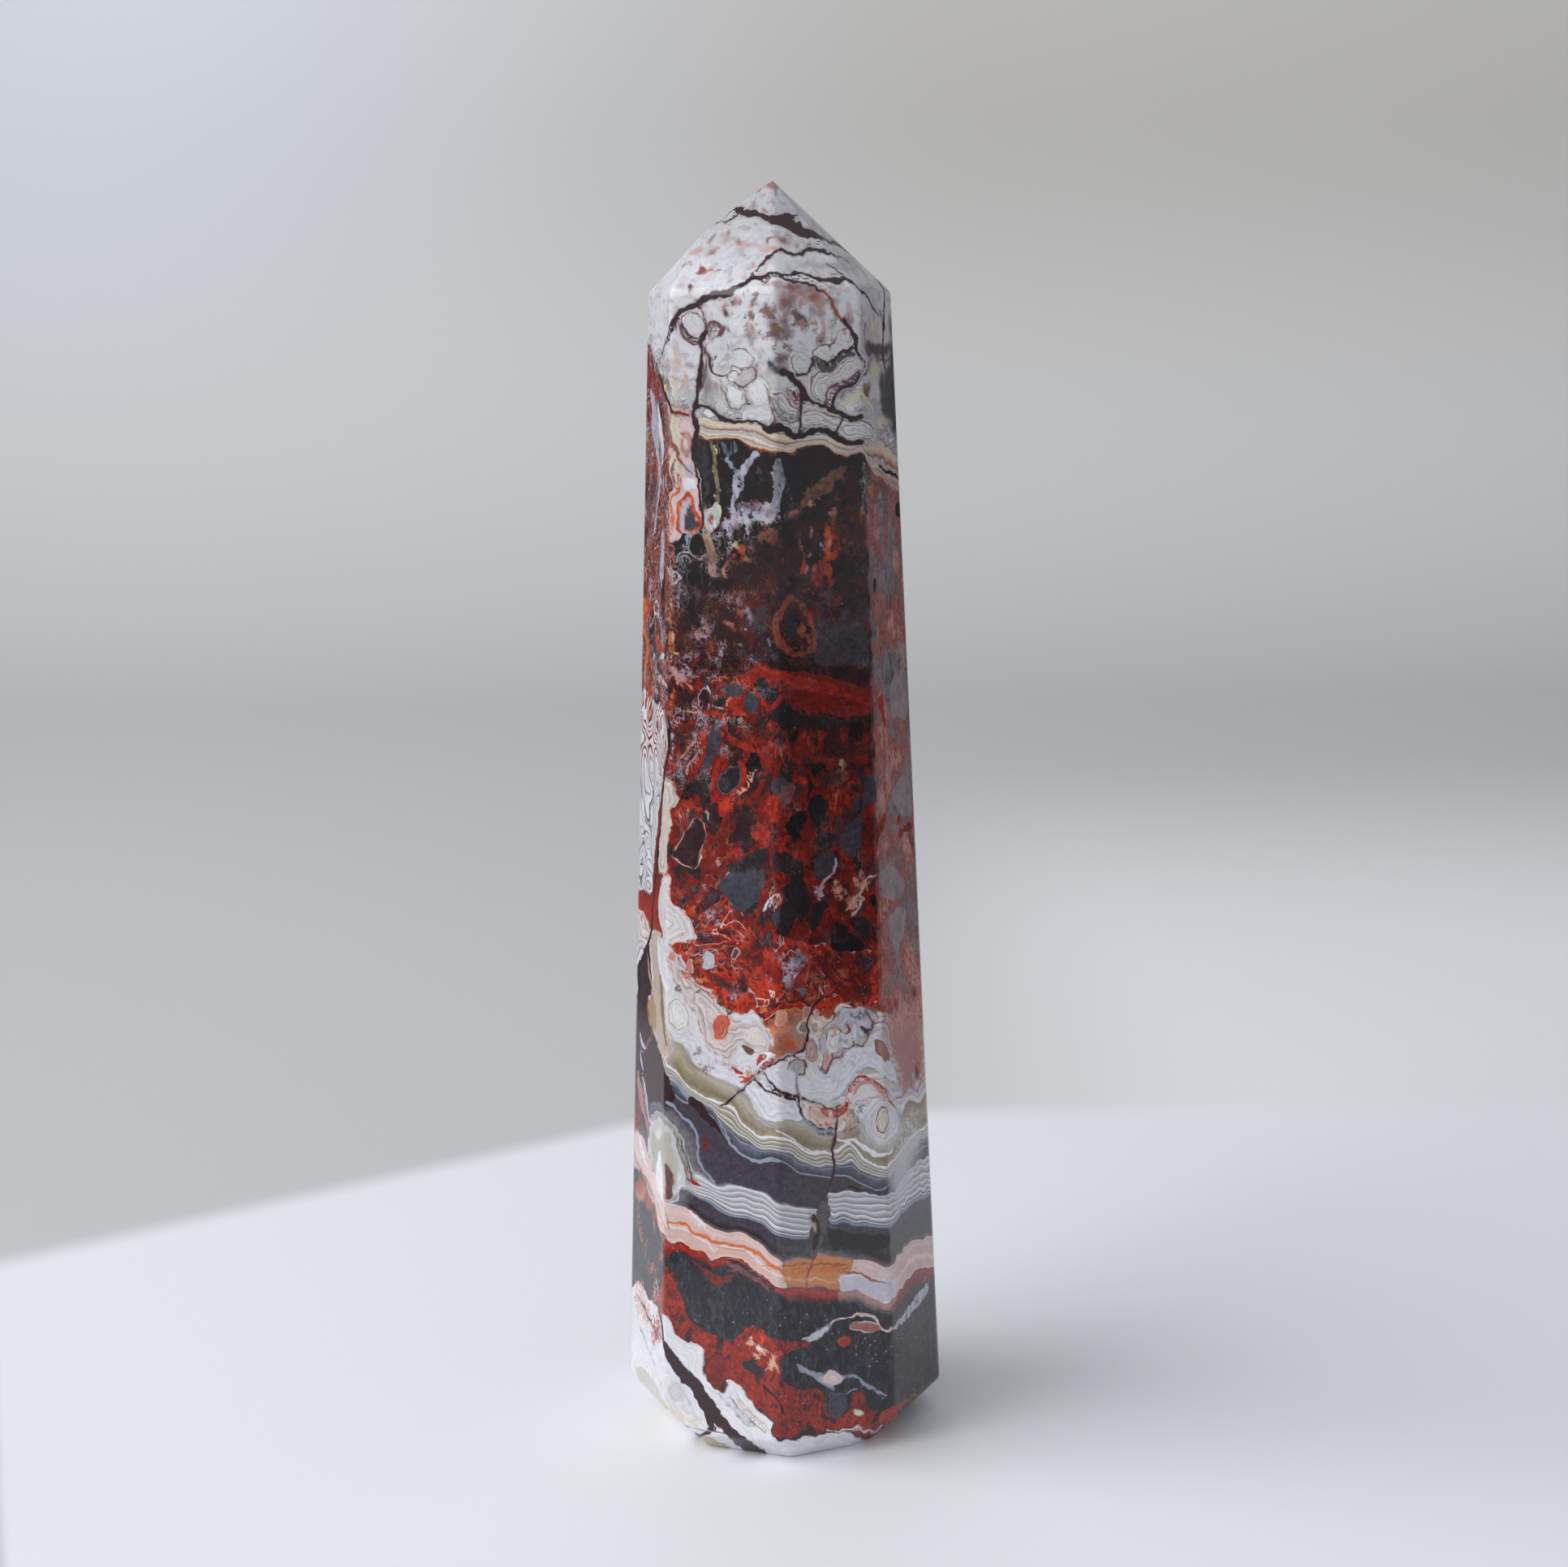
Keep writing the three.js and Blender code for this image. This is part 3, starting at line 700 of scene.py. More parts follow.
# %% Large patches
LARGE_PATCHES = [
    ("pink", 0.35, "blush", "827,508 856,512 858,545 857,560 862,590 866,620 862,640 855,655 845,650 838,660 828,670 "
     "824,640 826,600 824,560 826,530"),
    ("cream", 0.5, "rust", "826,512 838,514 840,530 842,548 841,565 840,580 834,584 828,574 825,560 825,530"),
    ("veil", 0.3, "rust", "839,536 846,531 852,538 854,550 852,562 844,562 838,556 836,546"),
    ("lilac", 0, None, "843,572 852,570 856,582 855,592 847,590 842,582"),
    ("brick", 0, None, "905,836 922,828 930,818 942,815 955,822 965,828 985,828 1010,832 1040,838 1060,848 1074,858 "
     "1073,878 1060,884 1040,882 1010,878 990,874 970,866 960,860 950,850 940,842 925,842 912,845"),
    ("soot", 0, None, "958,868 975,870 990,880 1020,884 1048,888 1045,898 1020,902 990,900 965,896 952,885"),
    ("slate", 0, None, "1004,770 1014,762 1030,768 1036,758 1046,762 1056,762 1066,775 1070,800 1068,822 1050,818 "
     "1028,822 1010,818 1000,800"),
    ("white", 0.8, "blush", "818,1078 826,1082 826,1100 830,1112 842,1118 850,1130 856,1145 858,1158 846,1162 835,1160 "
     "826,1168 818,1160 812,1130 812,1100"),
    ("cream", 0.9, "rust", "820,958 828,965 832,975 837,988 832,996 828,1005 824,1030 822,1060 822,1075 814,1078 "
     "811,1060 814,1010 816,975"),
    ("white", 0.45, "lilac", "812,1155 813,1180 816,1200 820,1215 819,1235 818,1250 820,1262 824,1273 830,1281 838,1285 "
     "846,1285 850,1292 856,1301 864,1308 868,1314 872,1321 880,1326 886,1330 895,1334 905,1338 914,1339 924,1328 "
     "934,1318 946,1308 956,1296 950,1275 940,1258 925,1246 910,1250 895,1240 880,1225 862,1212 850,1200 842,1185 "
     "830,1165 820,1158"),
    ("pink", 0.95, "umber", "820,1162 822,1182 826,1198 831,1210 837,1220 843,1228 845,1236 851,1243 857,1249 861,1258 "
     "862,1270 865,1282 871,1292 881,1299 892,1303 902,1303 908,1296 913,1288 918,1294 926,1298 934,1298 942,1296 "
     "949,1290 948,1275 943,1262 932,1257 918,1261 905,1257 899,1245 888,1232 877,1222 866,1214 853,1206 844,1194 "
     "836,1180 829,1166"),
    ("rust", 0.12, "amber", "948,1258 958,1248 972,1244 985,1243 992,1256 993,1272 990,1288 982,1295 970,1298 958,1305 "
     "948,1310 946,1296 953,1284 952,1270"),
    ("lilac", 0.35, "mauve", "1012,1300 1008,1286 1012,1272 1020,1262 1030,1248 1045,1240 1062,1240 1075,1246 1083,1256 "
     "1076,1262 1074,1272 1069,1281 1062,1287 1055,1286 1050,1290 1044,1292 1038,1292 1034,1301 1027,1306 1020,1310"),
    ("white", 0.45, "haze", "942,1321 952,1311 964,1304 977,1298 990,1296 1004,1303 1016,1320 1028,1308 1040,1296 "
     "1056,1290 1068,1287 1080,1284 1094,1298 1104,1316 1104,1336 1090,1326 1078,1318 1066,1316 1058,1324 1050,1334 "
     "1042,1344 1034,1353 1022,1358 1008,1355 998,1358 988,1354 978,1349 966,1348 956,1340 948,1330"),
    ("snow", 0.6, "haze", "915,1341 922,1333 932,1330 940,1326 950,1338 962,1348 978,1353 986,1366 992,1380 982,1383 "
     "968,1380 955,1383 942,1380 932,1370 922,1355"),
    ("white", 0.6, "blush", "984,1354 998,1360 1012,1358 1022,1363 1034,1360 1042,1350 1052,1338 1062,1330 1070,1332 "
     "1080,1342 1088,1352 1078,1352 1066,1352 1056,1362 1050,1376 1042,1389 1030,1397 1016,1397 1004,1391 994,1379 "
     "987,1367"),
    ("peach", 0.8, "flame", "998,1366 1008,1362 1018,1366 1030,1364 1040,1357 1048,1360 1046,1374 1038,1386 1026,1390 "
     "1012,1387 1002,1378"),
    ("white", 0.85, "lilac", "1066,1388 1068,1372 1076,1360 1086,1354 1098,1358 1106,1372 1106,1392 1098,1406 "
     "1085,1412 1074,1404"),
    ("tan", 0.6, "pink", "802,1150 812,1150 813,1180 816,1200 819,1215 819,1250 822,1270 826,1284 823,1300 816,1302 "
     "810,1286 804,1262 802,1240 804,1215 803,1185"),
    ("vein", 0, None, "797,1160 800,1166 802,1190 803,1222 799,1228 798,1240 800,1260 806,1276 812,1292 816,1306 "
     "821,1325 828,1345 832,1356 822,1362 800,1360 796,1352 790,1332 782,1325 781,1290 784,1240 786,1215 783,1192 "
     "791,1178"),
    ("fog", 0.3, "pearl", "799,1470 797,1440 799,1395 801,1378 806,1372 812,1369 818,1373 825,1382 832,1390 "
     "840,1400 846,1415 851,1432 856,1449 862,1453 850,1460 838,1466 836,1476 828,1482 812,1478"),
    ("pearl", 0.2, "white", "801,1440 800,1392 805,1382 812,1379 818,1382 825,1391 832,1402 838,1420 843,1438 846,1456 "
     "838,1466 826,1470 810,1468"),
    ("sage", 0.2, "pearl", "802,1402 805,1393 811,1388 817,1390 823,1398 829,1410 833,1424 835,1440 835,1458 828,1470 "
     "816,1468 806,1446"),
    ("pink", 0.3, None, "781,1395 792,1400 800,1425 808,1450 818,1475 822,1500 822,1520 815,1500 805,1470 795,1450 "
     "783,1425"),
    ("lilac", 0.5, "white", "1036,1573 1053,1570 1075,1576 1092,1574 1104,1584 1098,1603 1088,1605 1072,1597 "
     "1050,1590 1034,1588"),
    ("slate", 0, None, "1100,1530 1110,1510 1125,1495 1150,1482 1150,1515 1125,1522 1110,1535 1102,1545"),
    ("amber", 0.12, None, "965,1556 972,1552 985,1550 1010,1547 1040,1549 1053,1552 1050,1562 1040,1572 1034,1576 "
     "1032,1588 1000,1585 975,1587 968,1580"),
    ("white", 0.3, None, "778,1590 800,1600 812,1612 820,1620 830,1640 842,1648 855,1655 866,1660 869,1678 872,1695 "
     "882,1710 893,1712 898,1700 912,1708 922,1722 935,1738 950,1750 960,1757 953,1765 958,1774 978,1773 "
     "1000,1770 1020,1766 1040,1765 1062,1770 1070,1775 1060,1800 900,1820 778,1790"),
]
patch_layer("large", LARGE_PATCHES)

# %% Small patches
SMALL_PATCHES = [
    ("white", 0.5, "mauve", lobe(854, 400, 13, 16)),
    ("white", 0.4, "fog", lobe(884, 428, 15, 14)),
    ("white", 0.5, "mauve", lobe(889, 451, 14, 13)),
    ("white", 0.2, None, lobe(912, 442, 16, 13)),
    ("snow", 0.2, None, lobe(903, 464, 8, 7)),
    ("white", 0.6, "sage", lobe(905, 489, 16, 18)),
    ("snow", 0.2, None, lobe(905, 487, 11, 13)),
    ("white", 0.5, "sage", lobe(935, 480, 15, 19)),
    ("snow", 0.2, None, lobe(935, 479, 10, 14)),
    ("white", 0.5, "dusk", lobe(932, 512, 18, 10)),
    ("white", 0.5, "mauve", lobe(987, 447, 13, 14)),
    ("white", 0.3, "mauve", lobe(1014, 436, 13, 11)),
    ("white", 0.3, "mauve", lobe(1042, 418, 13, 13)),
    ("white", 0.2, "mauve", lobe(1030, 430, 9, 9)),
    ("white", 1.0, "mauve", "1001,463 1011,458 1021,459 1031,453 1043,444 1055,436 1062,441 1066,450 1061,461 1049,470 "
     "1037,478 1029,485 1025,498 1013,496 1004,492 999,478"),
    ("white", 1.0, "umber", "984,518 990,509 1001,504 1013,506 1027,512 1040,519 1055,518 1068,520 1078,530 1079,543 "
     "1062,541 1046,541 1035,537 1024,530 1012,525 1000,526 989,530"),
    ("white", 0.9, "mauve", "948,486 960,484 968,492 974,500 984,503 986,512 980,520 966,518 954,510 949,498"),
    ("snow", 0.3, "fog", lobe(873, 510, 10, 6)),
    ("umber", 0, "blush", "856,337 860,333 863,329 865,326 869,328 874,331 882,332 889,332 884,334 874,335 866,336"),
    ("pearl", 0.5, "khaki", "906,468 914,460 924,450 931,450 932,460 926,470 916,476 908,474"),
    ("brick", 0, None, "797,455 806,458 815,470 820,480 812,492 803,482 797,478"),
    ("snow", 0.2, "pink", "842,592 850,588 857,594 858,602 850,604 842,602"),
    ("pink", 0, None, "842,540 845,538 847,546 846,554 842,552"),
    ("flame", 0, "orange", "832,654 835,630 839,614 844,606 849,604 854,610 858,624 863,638 867,648 858,656 845,658"),
    ("lilac", 0.2, "peach", "836,650 838,632 842,618 847,612 851,617 854,630 860,645 852,656 842,656"),
    ("plum", 0, None, "843,642 846,628 851,622 855,634 859,648 850,655 844,652"),
    ("pearl", 0.3, "tan", "867,630 873,626 878,622 882,620 888,625 890,634 888,644 884,652 879,658 872,656 866,646"),
    ("butter", 0, None, "883,624 889,628 889,638 885,634"),
    ("rust", 0, None, "872,637 877,634 880,639 877,645 872,642"),
    ("snow", 0.2, None, "876,645 882,641 885,648 881,656 876,654"),
    ("ink", 0, "fog", "849,664 860,657 869,660 870,674 866,684 854,684 847,676"),
    ("ink", 0, "fog", "836,690 840,685 847,684 850,690 848,698 840,698"),
    ("ink", 0, "smoke", "884,662 890,660 894,672 896,684 893,698 886,700 883,684"),
    ("ink", 0, "smoke", "845,708 852,702 862,704 868,714 864,724 852,724 845,718"),
    ("ink", 0, "smoke", "858,740 866,736 872,742 868,754 858,752"),
    ("soot", 0, None, "966,772 970,762 976,752 982,756 984,770 982,784 974,786 966,780"),
    ("slate", 0, None, "918,868 920,858 926,853 933,857 934,866 930,875 923,878"),
    ("soot", 0, None, "932,838 940,835 947,842 955,850 960,857 956,864 949,862 941,853 935,845"),
    ("slate", 0, None, "888,848 898,842 910,845 918,850 912,856 902,858 892,855"),
    ("soot", 0, None, "897,888 905,884 910,886 907,896 904,908 899,908 896,898"),
    ("vein", 0, "fog", "860,856 868,850 876,856 876,868 870,876 862,872"),
    ("soot", 0, None, "880,862 890,860 892,868 884,870"),
    ("plum", 0, None, "876,895 884,886 890,892 888,915 882,935 874,950 866,956 862,950 868,930 872,912"),
    ("soot", 0, None, "852,962 858,957 868,957 876,960 874,972 870,984 862,980 853,977 849,970"),
    ("soot", 0, "smoke", "883,962 890,952 898,946 908,945 914,950 913,960 906,972 896,978 888,976 884,970"),
    ("vein", 0, None, "912,984 920,974 930,962 940,955 944,958 936,966 926,976 918,985"),
    ("vein", 0, None, "874,998 882,988 887,990 886,1010 885,1022 880,1028 874,1024 872,1010"),
    ("vein", 0, None, "893,1044 898,1034 905,1020 914,1005 920,998 927,1000 927,1015 922,1026 914,1034 904,1040"),
    ("vein", 0, "blush", "830,1052 838,1038 842,1028 850,1014 858,1006 866,1010 869,1020 868,1040 862,1056 854,1068 "
     "842,1066 834,1060"),
    ("soot", 0, None, "896,1072 906,1064 920,1054 935,1047 944,1046 946,1056 938,1068 925,1074 905,1076"),
    ("slate", 0, None, "884,1092 896,1078 910,1074 930,1072 942,1076 940,1092 932,1110 920,1122 912,1124 902,1114 "
     "890,1102"),
    ("plum", 0, None, "950,965 958,957 968,962 966,975 955,980 948,975"),
    ("mauve", 0, None, "962,970 972,966 980,972 976,985 968,995 962,985"),
    ("ink", 0, None, "966,1018 975,1006 985,998 994,998 992,1012 986,1028 978,1034 968,1026"),
    ("soot", 0, None, "1000,985 1008,980 1018,986 1018,1000 1014,1015 1006,1020 1000,1010 998,998"),
    ("soot", 0, None, "1006,1034 1012,1026 1020,1021 1028,1028 1028,1040 1020,1048 1010,1046"),
    ("slate", 0, None, "1003,1062 1012,1052 1026,1052 1028,1066 1022,1078 1010,1084 1003,1074"),
    ("slate", 0, None, "1036,1036 1040,1020 1048,1010 1062,1008 1064,1022 1060,1040 1054,1054 1046,1056 1040,1048"),
    ("slate", 0, None, "1050,996 1052,984 1058,978 1066,982 1066,996 1060,1004 1052,1002"),
    ("slate", 0, None, "1066,960 1072,955 1077,958 1077,990 1072,994 1067,984"),
    ("slate", 0, None, "1030,1012 1036,1008 1040,1012 1036,1018 1032,1018"),
    ("soot", 0, None, "960,1070 966,1060 975,1058 985,1060 990,1070 994,1088 998,1108 994,1130 990,1140 982,1130 "
     "978,1140 970,1155 962,1152 958,1138 962,1115 968,1095 974,1082"),
    ("soot", 0, None, "1000,1118 1006,1112 1016,1108 1020,1118 1014,1128 1010,1140 1004,1150 1000,1140"),
    ("slate", 0, None, "950,1136 955,1125 960,1122 960,1132 955,1140"),
    ("soot", 0, None, "1048,1134 1054,1130 1066,1130 1073,1136 1072,1148 1066,1156 1058,1150"),
    ("ink", 0, None, "1020,1165 1028,1150 1036,1146 1050,1150 1058,1158 1062,1170 1040,1172"),
    ("ink", 0, None, "1070,1106 1078,1102 1082,1112 1082,1120 1074,1114"),
    ("plum", 0, "blush", "905,1168 912,1172 910,1182 903,1180"),
    ("ash", 0, None, "1098,840 1106,828 1116,830 1118,880 1100,884 1096,866"),
    ("ash", 0, None, "1102,970 1112,958 1122,965 1124,1005 1108,1000 1100,985"),
    ("ash", 0, None, "1083,1080 1095,1066 1105,1075 1115,1085 1112,1100 1100,1110 1088,1102"),
    ("ash", 0, None, "1096,1130 1112,1115 1116,1130 1112,1155 1104,1170 1098,1155"),
    ("ink", 0, None, "1103,622 1106,617 1109,620 1109,632 1106,638 1103,634"),
    ("ink", 0, None, "1077,714 1079,712 1080,722 1078,730 1076,724"),
    ("red", 0, "brick", "1082,860 1084,857 1088,858 1089,866 1089,876 1091,890 1090,898 1087,886 1084,876 1082,868"),
    ("brick", 0, "red", "1077,1016 1083,1012 1087,1008 1091,1000 1091,1012 1088,1024 1083,1034 1079,1044 1078,1034 1080,1024"),
    ("brick", 0, "red", "1105,1008 1108,1004 1109,1012 1106,1016"),
    ("red", 0, "brick", "1106,1026 1110,1022 1114,1026 1112,1030 1108,1034"),
    ("brick", 0, "red", "1112,1018 1118,1014 1122,1017 1120,1022 1116,1026"),
    ("red", 0, "brick", "1119,1030 1121,1026 1123,1032 1122,1042 1120,1038"),
    ("snow", 0.7, "sage", "823,1250 825,1238 832,1231 840,1233 846,1244 848,1256 846,1266 838,1271 829,1265 824,1258"),
    ("flame", 0.5, "cream", "824,1177 828,1172 833,1173 836,1178 834,1183 828,1184"),
    ("flame", 0.4, "cream", "846,1190 850,1184 855,1186 856,1193 852,1197 847,1195"),
    ("flame", 0.4, "cream", "866,1181 870,1177 875,1179 876,1184 871,1188 867,1186"),
    ("rust", 0.4, "maroon", "894,1244 898,1240 903,1243 903,1249 898,1252 894,1249"),
    ("flame", 0.2, "orange", "877,1268 880,1258 885,1252 892,1251 898,1256 898,1266 895,1276 889,1282 882,1281 "
     "878,1276"),
    ("cream", 0.6, "white", "922,1278 926,1270 932,1268 940,1271 942,1280 938,1288 930,1290 924,1286"),
    ("umber", 0, None, "912,1285 918,1286 924,1290 928,1296 920,1298 914,1293"),
    ("red", 0.1, "pink", "931,1303 936,1298 945,1300 954,1306 950,1314 940,1319 932,1313"),
    ("orange", 0.5, "peach", "953,1256 958,1246 966,1245 970,1252 966,1262 958,1265"),
    ("dusk", 0.6, "pearl", "975,1315 978,1307 986,1305 993,1309 993,1317 986,1322 978,1321"),
    ("pearl", 0.5, "white", "1037,1276 1043,1264 1052,1262 1057,1272 1054,1284 1046,1291 1039,1287"),
    ("flame", 0.3, "brick", "1010,1363 1018,1366 1026,1368 1034,1365 1040,1358 1044,1362 1038,1374 1028,1379 1018,1378 "
     "1012,1372"),
    ("peach", 0.4, "cream", "1020,1369 1026,1371 1025,1375 1021,1374"),
    ("pearl", 0.4, "mauve", "864,1176 872,1171 880,1176 884,1184 880,1191 870,1196 863,1192 866,1184"),
    ("veil", 0.5, "umber", "992,1287 998,1281 1004,1284 1007,1294 1005,1306 1000,1311 994,1306 991,1296"),
    ("blush", 0.4, "umber", "1012,1309 1016,1299 1022,1297 1028,1302 1024,1312 1018,1319 1012,1318"),
    ("snow", 0.6, "umber", "1018,1276 1024,1268 1032,1267 1036,1274 1034,1288 1030,1298 1022,1298 1018,1288"),
    ("maroon", 0.4, "cream", "985,1262 990,1256 996,1258 997,1268 992,1274 986,1270"),
    ("umber", 0.6, "cream", "998,1266 1002,1260 1008,1260 1009,1268 1004,1274 999,1273"),
    ("brick", 0.4, "blush", "988,1244 994,1238 999,1242 997,1252 991,1255"),
    ("cream", 0.6, "mauve", "1079,1382 1081,1371 1086,1365 1093,1367 1095,1380 1092,1393 1086,1397 1080,1392"),
    ("rust", 0.3, "umber", "1078,1285 1085,1280 1092,1290 1096,1305 1090,1308 1082,1298"),
    ("mauve", 0, "sage", "820,1432 825,1436 829,1448 831,1462 830,1474 824,1480 820,1476 819,1455"),
    ("steel", 0, None, "801,1362 808,1357 816,1360 816,1369 808,1369 802,1374"),
    ("vein", 0, None, "845,1352 856,1354 868,1364 876,1374 884,1386 888,1398 878,1390 866,1376 854,1364"),
    ("brick", 0, None, "866,1404 870,1402 872,1410 870,1420 866,1414"),
    ("smoke", 0, None, "1008,1484 1014,1481 1020,1486 1019,1510 1012,1532 1006,1548 1000,1546 1005,1520"),
    ("soot", 0, None, "1022,1516 1045,1518 1070,1521 1090,1522 1098,1520 1094,1536 1070,1542 1045,1538 1024,1540"),
    ("khaki", 0.3, "sage", "846,1764 862,1768 880,1775 900,1783 882,1786 866,1780"),
    ("pearl", 0.6, "cream", lobe(833, 1714, 11, 13)),
    ("sage", 0.5, "white", "783,1686 794,1686 805,1700 816,1725 812,1735 800,1720 787,1704"),
    ("brick", 0, "maroon", "870,1684 876,1672 886,1668 894,1676 895,1692 890,1706 882,1711 874,1702"),
    ("brick", 0, "maroon", "952,1762 958,1753 968,1756 970,1766 962,1772 955,1770"),
    ("slate", 0, None, "1020,1722 1028,1715 1040,1718 1043,1732 1036,1746 1024,1745"),
    ("soot", 0, None, "913,1680 922,1675 932,1680 936,1690 928,1692 918,1688"),
    ("pearl", 0.2, "steel", "986,1653 996,1646 1006,1640 1014,1633 1022,1631 1020,1642 1012,1649 1000,1653"),
    ("haze", 0.2, "steel", "978,1681 990,1684 1003,1689 1016,1692 1024,1700 1028,1712 1018,1708 1004,1698 990,1692"),
    ("rust", 0.1, "lilac", "1046,1642 1050,1630 1062,1626 1075,1628 1086,1636 1078,1642 1060,1641"),
    ("red", 0, "rust", "1028,1654 1036,1646 1046,1648 1048,1656 1038,1660"),
    ("pink", 0.4, "steel", "1014,1696 1022,1691 1034,1693 1040,1700 1030,1705 1018,1703"),
    ("red", 0, "rust", "1084,1746 1092,1736 1102,1734 1106,1744 1098,1754 1088,1757"),
    ("butter", 0.2, None, "1052,1738 1057,1734 1063,1738 1062,1744 1054,1745"),
    ("snow", 0.3, None, "852,1702 858,1699 862,1705 858,1711 852,1710"),
]
patch_layer("small", SMALL_PATCHES)

# %% [markdown]
# ## Strokes
# The wide pale and coloured strokes come first, and the dark veins and cracks that cut through
# everything come last, as they did in the stone.

